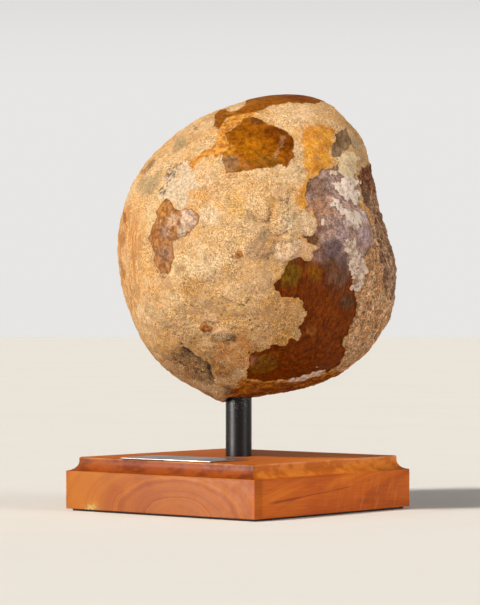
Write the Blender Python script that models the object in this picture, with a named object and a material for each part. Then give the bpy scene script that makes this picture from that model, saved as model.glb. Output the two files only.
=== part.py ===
# Fossil mammoth femur head on a post and a square wooden base.
# Metres in the scene; the constants are in millimetres. +Z is up, the label side faces -Y, and z = 0 is the underside.

import math

import bmesh
import bpy
import numpy as np
from mathutils import Vector, noise

# Base and pad
BASE_SIDE = 150.0
BASE_BOTTOM = 1.3
BASE_TOP = 32.8
COVE_WIDTH = 5.7
COVE_LOW = 24.5
COVE_HIGH = 30.4
TOP_EDGE_RADIUS = 0.9
PAD_INSET = 3.0
PAD_THICK = 1.0

# Post
POST_RADIUS = 8.0
POST_BOTTOM = 13.1
POST_TOP = 106.0
FIT_GAP = 0.3

# Label plate
PLATE_CENTRE = (0.4, -51.5)
PLATE_SIZE = (71.0, 37.0)
PLATE_TURN_DEG = 2.5
PLATE_BOTTOM = 33.1
PLATE_THICK = 0.5
PLATE_CORNER_RADIUS = 2.0

# Bone: its own axes are r (to the side), u (up) and b (to the front), turned about +Z from the base
HEAD_TURN_DEG = 40.0
HEAD_CENTRE_R = 11.3
HEAD_CENTRE_Z = 161.3
FRONT_DEPTH = 88.0
BACK_DEPTH = 86.0

# The bone's outline in the r-u plane: angle from r in degrees, distance from the centre
OUTLINE = (
    (-170.0, 85.8), (-157.0, 87.1), (-144.0, 90.0), (-132.0, 92.9), (-120.0, 94.6), (-110.0, 95.7),
    (-102.0, 98.2), (-92.0, 93.0), (-75.0, 91.6), (-62.0, 92.7), (-49.0, 93.2), (-37.0, 92.9),
    (-26.0, 92.1), (-16.5, 88.7), (-6.0, 85.2), (3.0, 80.8), (12.0, 77.8), (24.6, 80.0),
    (37.0, 86.1), (45.0, 91.8), (55.5, 95.5), (64.0, 98.3), (72.0, 97.7), (82.0, 94.4),
    (101.0, 88.3), (112.0, 86.8), (127.0, 85.1), (142.0, 85.3), (156.0, 85.5), (168.0, 85.0), (178.0, 85.4),
)

# The broken neck face
NECK_NORMAL = (0.66, 0.22, -0.72)
NECK_DISTANCE = 60.0
NECK_BLEND = 9.0
NECK_HOLLOW = 5.0
NECK_LEDGE = 2.2
NECK_ROUGH = 2.6
RIM_HEIGHT = 1.6

# Worn hollow low on the left, direction in degrees as (turn about the front axis, tilt from it)
HOLLOW_AT = (-119.0, 64.0)
HOLLOW_RADIUS = 15.0
HOLLOW_DEPTH = 3.2

# Coarse open bone low on the right
COARSE_AT = (-16.0, 84.0)
COARSE_RADIUS = 34.0
COARSE_ROUGH = 0.9

# Ridge of hard bone at the right, from the flat side to the bulge below it
RIDGE_POINTS = ((38.0, 70.0), (22.0, 76.0), (8.0, 79.0))
RIDGE_WIDTH = 4.0
RIDGE_HEIGHT = 1.6

# Smooth patches: outlines as (turn about the front axis, tilt from it) in degrees, and the height of each step
MAIN_PATCH = (
    (46.0, 68.0), (58.0, 46.0), (40.0, 36.0), (24.0, 33.0), (-2.0, 38.0), (-22.0, 26.0), (-48.0, 17.0),
    (-58.0, 30.0), (-56.0, 45.0), (-88.0, 57.0), (-92.0, 75.0), (-66.0, 76.0), (-44.0, 68.0),
    (-30.0, 56.0), (-14.0, 54.0), (4.0, 60.0), (18.0, 66.0),
)
MAIN_PATCH_STEP = -0.9
TOP_PATCH = (
    (115.0, 66.0), (94.0, 64.0), (72.0, 56.0), (65.0, 46.0), (72.0, 36.0), (98.0, 31.0), (116.0, 38.0),
    (121.0, 48.0),
)
TOP_PATCH_STEP = 0.6
SIDE_PATCH = (
    (150.0, 53.0), (152.0, 37.0), (164.0, 31.0), (178.0, 38.0), (-166.0, 46.0), (-172.0, 54.0),
    (170.0, 59.0), (157.0, 58.0),
)
SIDE_PATCH_STEP = 0.6

HEAD_SUBDIVISIONS = 5
ROUND_SIDES = 48


def clear_scene():
    for obj in list(bpy.data.objects):
        bpy.data.objects.remove(obj, do_unlink=True)


def principled(name, colour, roughness, metallic=0.0):
    mat = bpy.data.materials.new(name)
    mat.use_nodes = True
    shader = mat.node_tree.nodes["Principled BSDF"]
    shader.inputs["Base Color"].default_value = (*colour, 1.0)
    shader.inputs["Roughness"].default_value = roughness
    shader.inputs["Metallic"].default_value = metallic
    mat.diffuse_color = (*colour, 1.0)
    return mat


def add_object(name, bm, mat, smooth=False):
    bmesh.ops.recalc_face_normals(bm, faces=bm.faces)
    mesh = bpy.data.meshes.new(name)
    bm.to_mesh(mesh)
    bm.free()
    if smooth:
        mesh.shade_smooth()
    obj = bpy.data.objects.new(name, mesh)
    bpy.context.scene.collection.objects.link(obj)
    obj.data.materials.append(mat)
    return obj


def mm(*values):
    return tuple(v * 0.001 for v in values)


def loft(rings):
    # A closed body through stacked rings of points with the same count, capped at both ends.
    bm = bmesh.new()
    rows = [[bm.verts.new(mm(*p)) for p in ring] for ring in rings]
    for low, high in zip(rows, rows[1:]):
        n = len(low)
        for i in range(n):
            j = (i + 1) % n
            bm.faces.new((low[i], low[j], high[j], high[i]))
    bm.faces.new(rows[0][::-1])
    bm.faces.new(rows[-1])
    return bm


def circle(radius, z, sides=ROUND_SIDES):
    turn = 2.0 * math.pi / sides
    return [(radius * math.cos(i * turn), radius * math.sin(i * turn), z) for i in range(sides)]


def square(half, z):
    return [(-half, -half, z), (half, -half, z), (half, half, z), (-half, half, z)]


def cut_with(obj, cutter):
    cutter.hide_render = True
    cutter.display_type = "WIRE"
    mod = obj.modifiers.new("hole", "BOOLEAN")
    mod.operation = "DIFFERENCE"
    mod.solver = "EXACT"
    mod.object = cutter
    depsgraph = bpy.context.evaluated_depsgraph_get()
    mesh = bpy.data.meshes.new_from_object(obj.evaluated_get(depsgraph))
    old = obj.data
    obj.modifiers.clear()
    obj.data = mesh
    bpy.data.meshes.remove(old)
    bpy.data.objects.remove(cutter, do_unlink=True)


def hole_cutter(low, high):
    radius = POST_RADIUS + FIT_GAP
    return add_object("hole_cutter", loft([circle(radius, low), circle(radius, high)]), dark_paint)


def build_base():
    half = BASE_SIDE / 2.0
    rings = [square(half, BASE_BOTTOM), square(half, COVE_LOW)]
    steps = 7
    for i in range(1, steps + 1):
        t = 0.5 * math.pi * (1.0 - i / steps)
        inset = COVE_WIDTH * math.cos(t)
        rings.append(square(half - inset, COVE_HIGH - (COVE_HIGH - COVE_LOW) * math.sin(t)))
    corner = BASE_TOP - TOP_EDGE_RADIUS
    for i in range(5):
        t = 0.5 * math.pi * i / 4
        inset = COVE_WIDTH + TOP_EDGE_RADIUS * (1.0 - math.cos(t))
        rings.append(square(half - inset, corner + TOP_EDGE_RADIUS * math.sin(t)))
    base = add_object("base", loft(rings), wood)
    cut_with(base, hole_cutter(POST_BOTTOM - FIT_GAP, BASE_TOP + 10.0))


def build_pad():
    half = BASE_SIDE / 2.0 - PAD_INSET
    add_object("base_pad", loft([square(half, 0.0), square(half, PAD_THICK)]), felt)


def build_post():
    chamfer = 0.6
    rings = [
        circle(POST_RADIUS - chamfer, POST_BOTTOM),
        circle(POST_RADIUS, POST_BOTTOM + chamfer),
        circle(POST_RADIUS, POST_TOP - chamfer),
        circle(POST_RADIUS - chamfer, POST_TOP),
    ]
    post = add_object("post", loft(rings), dark_paint)
    for face in post.data.polygons:
        face.use_smooth = len(face.vertices) == 4


def build_plate():
    turn = math.radians(PLATE_TURN_DEG)
    half_x = PLATE_SIZE[0] / 2.0 - PLATE_CORNER_RADIUS
    half_y = PLATE_SIZE[1] / 2.0 - PLATE_CORNER_RADIUS
    flat = []
    for k, (sx, sy) in enumerate(((1, 1), (-1, 1), (-1, -1), (1, -1))):
        for i in range(5):
            t = math.radians(90.0 * k + 22.5 * i)
            x = sx * half_x + PLATE_CORNER_RADIUS * math.cos(t)
            y = sy * half_y + PLATE_CORNER_RADIUS * math.sin(t)
            flat.append((
                PLATE_CENTRE[0] + x * math.cos(turn) - y * math.sin(turn),
                PLATE_CENTRE[1] + x * math.sin(turn) + y * math.cos(turn),
            ))
    heights = (PLATE_BOTTOM, PLATE_BOTTOM + PLATE_THICK)
    add_object("label_plate", loft([[(x, y, z) for x, y in flat] for z in heights]), silver)


def outline_radius(phi):
    # Smooth closed curve through the outline points.
    angles = np.radians([p[0] for p in OUTLINE])
    radii = np.array([p[1] for p in OUTLINE])
    ends = np.concatenate([angles[-2:] - 2 * math.pi, angles, angles[:2] + 2 * math.pi])
    values = np.concatenate([radii[-2:], radii, radii[:2]])
    slopes = np.gradient(values, ends)
    phi = (phi - angles[0]) % (2 * math.pi) + angles[0]
    k = np.clip(np.searchsorted(ends, phi) - 1, 0, len(ends) - 2)
    width = ends[k + 1] - ends[k]
    t = (phi - ends[k]) / width
    blend = t * t * (3 - 2 * t)
    rise = t * (1 - t)
    curve = (1 - blend) * values[k] + blend * values[k + 1]
    return curve + rise * width * ((1 - t) * slopes[k] - t * slopes[k + 1])


def direction(turn_deg, tilt_deg):
    turn = math.radians(turn_deg)
    tilt = math.radians(tilt_deg)
    return np.array([math.sin(tilt) * math.cos(turn), math.sin(tilt) * math.sin(turn), math.cos(tilt)])


def unrolled(d):
    # The surface laid flat around the front axis: tilt from the axis is the distance from the middle.
    tilt = np.arccos(np.clip(d[..., 2], -1, 1))
    flat = np.maximum(np.hypot(d[..., 0], d[..., 1]), 1e-9)
    return np.stack([tilt * d[..., 0] / flat, tilt * d[..., 1] / flat], axis=-1)


def patch_depth(d, outline):
    # Distance in millimetres from a patch's edge, above zero inside it.
    p = unrolled(d)
    corners = unrolled(np.array([direction(*c) for c in outline]))
    nearest = np.full(len(p), 1e9)
    inside = np.zeros(len(p), bool)
    for a, b in zip(corners, np.roll(corners, -1, axis=0)):
        edge = b - a
        t = np.clip(((p - a) @ edge) / (edge @ edge), 0, 1)
        nearest = np.minimum(nearest, np.linalg.norm(p - a - t[:, None] * edge, axis=1))
        crosses = (a[1] > p[:, 1]) != (b[1] > p[:, 1])
        rise = b[1] - a[1] if b[1] != a[1] else 1e-9
        inside ^= crosses & (p[:, 0] < a[0] + (p[:, 1] - a[1]) / rise * edge[0])
    return np.where(inside, nearest, -nearest) * FRONT_DEPTH


def smooth_step(x, low, high):
    t = np.clip((x - low) / (high - low), 0, 1)
    return t * t * (3 - 2 * t)


def lumps(points, size, octaves, offset=0.0):
    shift = Vector((offset, 2.0 * offset, 0.7 * offset))
    return np.array([noise.fractal(Vector(p) / size + shift, 0.9, 2.0, octaves) for p in points])


def head_radius(d):
    # Distance of the bone's surface from its centre in each direction.
    phi = np.arctan2(d[:, 1], d[:, 0])
    across = np.hypot(d[:, 0], d[:, 1])
    depth = np.where(d[:, 2] > 0, FRONT_DEPTH, BACK_DEPTH)
    spread = np.radians([-50.0, -30.0, -10.0, 10.0, 30.0, 50.0])
    even = np.mean([outline_radius(phi + turn) for turn in spread], axis=0)
    near_outline = smooth_step(across, 0.6, 0.98)
    outline = even + near_outline * (outline_radius(phi) - even)
    ball = 1.0 / np.sqrt((across / outline) ** 2 + (d[:, 2] / depth) ** 2)

    normal = np.array(NECK_NORMAL) / np.linalg.norm(NECK_NORMAL)
    facing = d @ normal
    face = np.where(facing > 0.25, NECK_DISTANCE / np.maximum(facing, 0.25), 400.0)
    overlap = np.maximum(NECK_BLEND - np.abs(ball - face), 0) / NECK_BLEND
    radius = np.minimum(ball, face) - overlap**2 * NECK_BLEND / 4

    points = d * radius[:, None]
    broken = smooth_step(ball - face, 0.0, 7.0)
    from_axis = np.linalg.norm(points - facing[:, None] * radius[:, None] * normal, axis=1)
    radius -= broken * NECK_HOLLOW * np.clip(1 - (from_axis / 62.0) ** 2, 0, 1)
    radius += broken * NECK_LEDGE * smooth_step(lumps(points, 34.0, 2, 4.0), -0.06, 0.06)
    radius += broken * NECK_ROUGH * lumps(points, 15.0, 3)
    radius += RIM_HEIGHT * np.exp(-(((ball - face - 2.0) / 4.0) ** 2)) * (1.0 + lumps(points, 18.0, 2, 5.0))

    side_on = np.exp(-((d[:, 2] / 0.22) ** 2))
    calm = (1 - 0.8 * side_on) * (1 - broken)
    radius += calm * (1.1 * lumps(points, 46.0, 2, 9.0) + 0.45 * lumps(points, 14.0, 2, 3.0))

    hollow = np.linalg.norm(points - direction(*HOLLOW_AT) * 90.0, axis=1)
    radius -= HOLLOW_DEPTH * np.exp(-((hollow / HOLLOW_RADIUS) ** 2)) * (1.0 + 0.6 * lumps(points, 9.0, 2, 2.0))

    coarse = np.linalg.norm(points - direction(*COARSE_AT) * 87.0, axis=1)
    radius += COARSE_ROUGH * smooth_step(-coarse, -COARSE_RADIUS, -0.5 * COARSE_RADIUS) * lumps(points, 7.0, 2, 7.0)

    ridge = [direction(*p) for p in RIDGE_POINTS]
    away = np.full(len(d), 1e9)
    for a, b in zip(ridge, ridge[1:]):
        edge = b - a
        t = np.clip(((d - a) @ edge) / (edge @ edge), 0, 1)
        away = np.minimum(away, np.linalg.norm(d - a - t[:, None] * edge, axis=1) * 80.0)
    radius += RIDGE_HEIGHT * np.exp(-((away / RIDGE_WIDTH) ** 2))

    for outline, step in (
        (MAIN_PATCH, MAIN_PATCH_STEP),
        (TOP_PATCH, TOP_PATCH_STEP),
        (SIDE_PATCH, SIDE_PATCH_STEP),
    ):
        radius += step * smooth_step(patch_depth(d, outline), -1.2, 1.2)
    return radius


def needs_detail(d):
    normal = np.array(NECK_NORMAL) / np.linalg.norm(NECK_NORMAL)
    broken = d @ normal > 0.66
    hollow = d @ direction(*HOLLOW_AT) > math.cos(math.radians(15.0))
    coarse = d @ direction(*COARSE_AT) > math.cos(math.radians(18.0))
    edge = np.zeros(len(d), bool)
    for outline in (MAIN_PATCH, TOP_PATCH, SIDE_PATCH):
        edge |= np.abs(patch_depth(d, outline)) < 2.6
    return broken | hollow | coarse | edge


def build_head():
    bm = bmesh.new()
    bmesh.ops.create_icosphere(bm, subdivisions=HEAD_SUBDIVISIONS, radius=1.0)
    bm.verts.ensure_lookup_table()
    d = np.array([v.co for v in bm.verts])
    detail = needs_detail(d / np.linalg.norm(d, axis=1)[:, None])
    edges = [e for e in bm.edges if detail[e.verts[0].index] and detail[e.verts[1].index]]
    bmesh.ops.subdivide_edges(bm, edges=edges, cuts=1, use_grid_fill=True)
    bmesh.ops.triangulate(bm, faces=bm.faces)

    d = np.array([v.co for v in bm.verts])
    d /= np.linalg.norm(d, axis=1)[:, None]
    local = d * head_radius(d)[:, None]
    turn = math.radians(HEAD_TURN_DEG)
    side = np.array([math.cos(turn), math.sin(turn), 0.0])
    front = np.array([math.sin(turn), -math.cos(turn), 0.0])
    centre = side * HEAD_CENTRE_R + np.array([0.0, 0.0, HEAD_CENTRE_Z])
    for v, (r, u, b) in zip(bm.verts, local):
        p = centre + r * side + b * front
        v.co = mm(p[0], p[1], p[2] + u)
    head = add_object("femur_head", bm, bone, smooth=True)
    cut_with(head, hole_cutter(HEAD_CENTRE_Z - 130.0, POST_TOP + FIT_GAP))


clear_scene()
bone = principled("fossil_bone", (0.56, 0.36, 0.17), 0.75)
dark_paint = principled("post_black", (0.02, 0.019, 0.02), 0.38)
wood = principled("base_wood", (0.55, 0.18, 0.055), 0.45)
silver = principled("plate_silver", (0.62, 0.62, 0.66), 0.32, 1.0)
felt = principled("pad_felt", (0.02, 0.018, 0.016), 0.95)

build_pad()
build_base()
build_plate()
build_post()
build_head()
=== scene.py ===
import math

import bmesh
import bpy
import numpy as np
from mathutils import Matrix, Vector, noise


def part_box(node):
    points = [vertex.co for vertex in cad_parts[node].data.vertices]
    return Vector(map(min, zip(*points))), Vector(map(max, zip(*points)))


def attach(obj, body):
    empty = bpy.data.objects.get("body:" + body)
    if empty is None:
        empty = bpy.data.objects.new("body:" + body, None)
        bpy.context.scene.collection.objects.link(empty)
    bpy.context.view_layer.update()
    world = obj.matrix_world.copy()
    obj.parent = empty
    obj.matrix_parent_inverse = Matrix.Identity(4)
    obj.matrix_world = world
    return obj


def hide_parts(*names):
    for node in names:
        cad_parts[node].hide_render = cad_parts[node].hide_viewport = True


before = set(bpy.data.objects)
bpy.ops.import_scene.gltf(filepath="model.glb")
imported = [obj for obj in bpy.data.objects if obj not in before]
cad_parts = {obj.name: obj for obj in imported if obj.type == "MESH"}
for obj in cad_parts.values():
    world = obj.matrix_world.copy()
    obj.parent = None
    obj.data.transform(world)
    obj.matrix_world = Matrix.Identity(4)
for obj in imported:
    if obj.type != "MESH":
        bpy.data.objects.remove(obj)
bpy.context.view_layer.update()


def pairs(*numbers):
    # Points from a plain run of numbers.
    return tuple(zip(numbers[::2], numbers[1::2]))


# The photograph's camera, in millimetres and photo pixels
PHOTO_WIDTH = 480.0
PHOTO_HEIGHT = 605.0
FOCAL_PX = 2957.5
CAMERA_DISTANCE = 1817.5
CAMERA_HEIGHT = 127.15
CAMERA_SHIFT = 0.81
TURN = math.radians(39.98)
SIDE = np.array([math.cos(TURN), math.sin(TURN), 0.0])
FRONT = np.array([math.sin(TURN), -math.cos(TURN), 0.0])

# The bone: its own axes are r (to the side), u (up) and b (to the front)
# Its outline is in degrees and millimetres
HEAD_CENTRE_R = 11.3
HEAD_CENTRE_Z = 161.3
FRONT_DEPTH = 88.0
BACK_DEPTH = 86.0
OUTLINE = pairs(
    -170, 85.8, -157, 87.1, -144, 90, -132, 92.9, -120, 94.6, -110, 95.7, -102, 98.2, -92, 93, -75, 91.6,
    -62, 92.7, -49, 93.2, -37, 92.9, -26, 92.1, -16.5, 88.7, -6, 85.2, 3, 80.8, 12, 77.8, 24.6, 80,
    37, 86.1, 45, 91.8, 55.5, 95.5, 64, 98.3, 72, 97.7, 82, 94.4, 101, 88.3, 112, 86.8, 127, 85.1,
    142, 85.3, 156, 85.5, 168, 85, 178, 85.4,
)
NECK_NORMAL = np.array((0.66, 0.22, -0.72)) / np.linalg.norm((0.66, 0.22, -0.72))
NECK_DISTANCE = 60.0
NECK_BLEND = 9.0
NECK_HOLLOW = 5.0
NECK_LEDGE = 2.2
NECK_ROUGH = 2.6
RIM_HEIGHT = 1.6
HOLLOW_AT = (-119.0, 64.0)
HOLLOW_RADIUS = 15.0
HOLLOW_DEPTH = 3.2
COARSE_AT = (-16.0, 84.0)
COARSE_RADIUS = 34.0
COARSE_ROUGH = 0.9
RIDGE_POINTS = ((38.0, 70.0), (22.0, 76.0), (8.0, 79.0))
RIDGE_WIDTH = 4.0
RIDGE_HEIGHT = 1.6
HEAD_GRID = 126

# The post's holes: the gap round the post and the cutter's length, in metres, and the number of sides
FIT_GAP = 0.0003
CUTTER_LENGTH = 0.1
HOLE_SIDES = 64

# Outlines of the bone's markings, in photo pixels
RECESS_PX = pairs(
    324.7, 168.6, 318.6, 173.7, 311.4, 177.8, 308.4, 187, 307, 198, 310, 203, 306.3, 209.4, 312, 212,
    317.5, 219.6, 317.5, 228.8, 313.5, 235.5, 303.2, 236.6, 311.6, 243.4, 321, 247.6, 312.6, 251.8,
    315.3, 257.1, 311, 261.5, 301, 256.5, 290.5, 260.3, 286.3, 265.5, 282.1, 276, 275.5, 284.5,
    276.8, 291.8, 281, 297.1, 297.9, 298.2, 303.2, 303.4, 308.9, 313.4, 304.2, 319.2, 300, 328.7,
    303.2, 334.5, 298.9, 339.2, 291.6, 338.7, 286.3, 345.5, 275.8, 345.5, 256.8, 351.8, 247.5, 358,
    249.5, 364.5, 246.5, 379, 266.3, 381.5, 288.4, 381, 310, 378, 327.4, 373.5, 337.9, 366.6, 343.2, 357.2,
    345.3, 348.7, 343.2, 342.4, 350.5, 335, 353.7, 325.5, 358.9, 317.1, 360, 308.7, 359.5, 298.2,
    356.8, 287, 360, 262, 366, 254, 374, 245, 373, 229, 366.5, 215.5, 358, 207, 357, 180, 352, 165,
    341, 161, 334, 166,
)
TOP_PX = pairs(
    252.2, 117, 245, 118.7, 239.2, 125.4, 231.6, 131.1, 225.8, 135, 226.8, 141.7, 230.6, 145.5,
    229.7, 151.2, 223.9, 155.1, 223, 160.8, 225, 166.5, 226.8, 174.2, 235.4, 173.2, 251.2, 170.1,
    260.4, 167.6, 273.7, 165.5, 279.8, 163, 288, 164.5, 290, 159.4, 296.1, 153.3, 293.1, 148.2, 295.4, 140,
    294, 133.5, 289, 130.3, 282.9, 125.7, 273.7, 124.2, 266.5, 121.6, 260.4, 118.1,
)
BAND_PX = pairs(
    222, 109.5, 229, 112, 238, 110, 245.9, 105.3, 247, 98, 250, 84, 300, 78, 332, 86, 327, 102.4,
    314.5, 103, 300, 101.4, 286, 101, 273.7, 103.2, 267.6, 105.8, 260.4, 110, 252, 112, 243, 113.5,
    234, 115, 226, 118, 222.5, 125, 220, 131.5, 215, 127.5, 215.3, 114,
)
AMBER_PX = pairs(
    246, 108, 256, 111, 252, 118, 243, 121, 236, 128, 228, 135, 229, 142, 232, 147, 229, 153, 222, 157.5,
    207.7, 159.5, 197, 165, 193.3, 172, 191, 165.5, 197, 158, 208, 153, 216, 145, 220, 135, 222, 125,
    228, 116, 238, 112,
)
SIDE_PX = pairs(
    165.6, 198.1, 169.4, 200, 173.2, 206.7, 179, 210, 184.7, 208.8, 192.4, 208.8, 197.6, 213, 199.5, 220.1,
    193.3, 229, 187.7, 234.8, 179.7, 238.8, 174, 242.2, 172.8, 248, 175, 257, 173, 266, 168.2, 273.2,
    162.5, 272.6, 157.9, 267.5, 153.3, 261, 154.5, 254.8, 151.6, 245.7, 148.7, 238.8, 150.3, 231.5,
    153.1, 225.8, 157, 218.2, 156, 210.5, 160.8, 204.8,
)
OCHRE_PX = pairs(
    303.3, 124.7, 311.4, 123.7, 321.6, 123, 329.8, 126, 336.5, 130.8, 332.9, 135.5, 335.9, 141, 332.9, 147,
    329.8, 152.2, 336.4, 159.5, 331.8, 165.5, 324.7, 169.6, 311.4, 178, 308.4, 187, 307.3, 198.2,
    309.9, 203.8, 303.3, 210, 297.5, 204, 301.2, 196, 300, 188, 306, 181, 309.4, 172, 306.5, 160,
    304.3, 145,
)
OLIVE_PX = pairs(
    335.9, 133.9, 342, 129.8, 345.1, 127.8, 347.1, 132.9, 350.2, 136.9, 351.7, 143.1, 350.2, 148.7,
    344.1, 150.2, 341, 154.8, 335, 153.8, 332.9, 148.2, 335.9, 141,
)
WHITE_PX = (
    pairs(
        332.9, 168.6, 339, 165.5, 341, 157.3, 344.1, 151.2, 351.2, 149.2, 354.3, 153.3, 358.8, 160,
        355.5, 165, 359, 170, 354.5, 176.5, 358.5, 183, 355.5, 189, 359.5, 195, 357, 200, 358, 203,
        354.3, 207.3, 350.2, 200.2, 343.1, 198.2, 338, 191, 336.4, 185.9, 342, 179.8, 343.1, 175.2,
        336.9, 173.7, 332.3, 173.7,
    ),
    pairs(
        331.5, 204.5, 335.5, 200.5, 342, 203, 341.5, 208.5, 347.5, 207.5, 353.5, 210.5, 358, 217,
        358, 224.5, 354.5, 230.5, 349, 229.5, 345, 223.5, 341, 217.5, 336.5, 211.5,
    ),
    pairs(322.6, 223.4, 323.6, 220.6, 325, 222.6, 324.6, 225.4, 325.9, 228.4, 324, 230, 322.9, 227),
    pairs(
        345.3, 241.3, 353.7, 240.5, 355.8, 247.6, 360, 253.9, 366.3, 264.5, 368.9, 271.8, 366.3, 280.3,
        361.1, 290.5, 355.8, 287.6, 356.8, 281.3, 353.2, 272.9, 351.1, 264.5, 351.6, 256.1, 347.4, 250.8,
    ),
    pairs(
        288.4, 380, 297.9, 378.6, 308.4, 374.8, 317.9, 370.6, 326.8, 372.2, 323.2, 375.6, 313.7, 377.4,
        305.3, 379.4, 296.8, 381.8, 289, 382.4,
    ),
)
FLAKE_PX = (
    pairs(203, 314.5, 207, 311.5, 212.5, 313, 217.5, 318, 217, 322.5, 212, 323, 208.5, 320.5, 204, 320),
    pairs(208, 334.5, 214, 331, 220.5, 326.5, 228.5, 328.5, 232, 334, 230.5, 339.5, 224, 342, 216, 341),
    pairs(
        301.2, 212.5, 307.3, 212.5, 311.4, 215.5, 316.8, 219.6, 316.8, 228.8, 312.4, 236.5, 306.3, 235.4,
        300.2, 232.9, 300.2, 224.7, 297.2, 218.6,
    ),
    pairs(281.5, 217.6, 286.9, 220, 286, 232.9, 280.8, 232, 282.5, 225),
    pairs(
        274.5, 243.5, 287, 242, 300, 239, 312, 244.5, 321, 247.6, 312.6, 251.8, 315.3, 257.1, 311, 261.5,
        301, 256.5, 290.5, 260.3, 281, 263, 275, 257,
    ),
)
PLATE_PX = (
    pairs(
        280, 216, 284, 214.6, 287.7, 220.8, 285.4, 227, 283.8, 233.8, 277, 233.8, 267.7, 231.5, 272.3, 227,
        280, 225.4,
    ),
    pairs(
        275.4, 243.8, 280, 237.7, 286, 235.4, 292.3, 236, 298.5, 239.2, 300.8, 247, 298.5, 253, 292.3, 256,
        286, 257.7, 281.5, 261.5, 276, 260, 274.6, 251.5,
    ),
    pairs(
        247, 199, 257, 195, 266, 199, 269, 206, 267, 213, 268, 219, 260, 222, 256, 216.5, 249, 212,
        244, 207,
    ),
    pairs(222, 286, 236, 280, 251, 285, 253, 296, 241, 303, 227, 299),
    pairs(272, 186, 282, 183, 289, 190, 286, 198, 276, 199.5, 270, 193),
)
CRACK_PX = (
    pairs(244.5, 213, 249, 217, 255, 218.5, 258.5, 223),
    pairs(268, 221.5, 270.5, 213, 273, 206, 275, 201),
    pairs(277, 191.5, 277.5, 196, 280.5, 199),
    pairs(288.5, 216, 289, 222, 286, 229, 285, 234.5, 277, 235.5),
    pairs(229.5, 262, 232, 256, 236, 248),
    pairs(227.5, 178, 239, 177, 248, 174.5),
    pairs(150, 258, 155, 268, 162, 277.5, 170, 277),
    pairs(212, 341.5, 219, 345.5, 227, 345.5, 234, 341),
)
CHIP_PX = (
    pairs(199.5, 324, 204.5, 322, 208, 327, 212.5, 328.5, 210, 332.5, 204, 334, 198.5, 330),
    pairs(234.5, 254, 237, 249.8, 241.5, 251.5, 243, 255.5, 238.5, 259, 234, 258),
    pairs(124, 212, 126.5, 213, 126.5, 222, 124, 224),
)
OPEN_BONE_PX = pairs(
    372, 163, 365, 168, 359.5, 171, 357, 180, 359.5, 190, 361, 200, 361.5, 206, 367.5, 214, 374, 226,
    376, 236, 380, 247, 382, 262, 386, 280, 388, 300, 404, 302, 404, 230, 390, 165,
)
CHALKY_PX = pairs(
    170, 168.6, 181.4, 165, 188.6, 163, 192, 168.6, 197, 176.7, 199.8, 182, 197.8, 188, 192, 193,
    189.6, 203, 183.5, 206.3, 177.3, 208.4, 174.3, 201.2, 167, 197, 156, 197.5, 155, 194, 163, 190,
    162, 182, 167, 174,
)
SOOT_PX = (
    pairs(165, 181, 166, 172, 171, 166, 181, 162.5, 184, 166, 177, 172, 171, 181),
    pairs(159, 192, 162, 184, 168, 181, 169, 190, 163, 196),
    pairs(222, 341, 227, 337, 233, 338, 235, 342.5, 229, 345),
    pairs(191.5, 127, 195, 124.5, 198, 126.5, 195, 130),
)
GREY_PX = (
    pairs(176, 138.5, 182, 137, 186.5, 141, 186, 147, 179, 150, 174, 146.5),
    pairs(136, 188, 140, 180, 147, 176.5, 156, 175.5, 160.5, 180, 159, 187, 152, 192.5, 142, 194),
)
ERODED_PX = pairs(
    165, 356, 173, 353, 180, 348, 185, 355, 194, 361, 203, 366, 209, 372, 215, 382, 213, 386, 205, 385,
    196, 380, 187, 374, 178, 369, 169, 363, 164, 359,
)
STREAKED_PX = pairs(
    117, 206, 126, 204, 136, 214, 141, 232, 139, 252, 137, 272, 140, 296, 134, 304, 118, 290, 110, 250,
)
COARSE_PX = pairs(
    352, 268, 360, 256, 367, 247, 371, 238, 371, 226, 376, 220, 384, 232, 390, 246, 404, 256, 407, 300,
    400, 345, 378, 375, 350, 388, 328, 380, 332, 368, 340, 356, 347, 336, 355, 316, 356, 300, 352, 284,
)
UNDER_PX = pairs(
    244, 378, 262, 382, 290, 382, 318, 377, 334, 371, 352, 374, 340, 392, 300, 412, 240, 414, 226, 402,
    234, 388,
)
RIDGE_PX = pairs(358.4, 203.3, 364.8, 209, 370.4, 217.6, 373, 226)
CREASE_PX = pairs(181, 348, 186, 356, 196, 362, 205, 369, 212.5, 381)
SCRATCH_PX = pairs(283.5, 133, 282, 143, 277.5, 149.5, 275, 155.5)
CREST_PX = pairs(197, 117.5, 207, 112, 218, 106.5, 229, 102, 244, 98)

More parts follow.
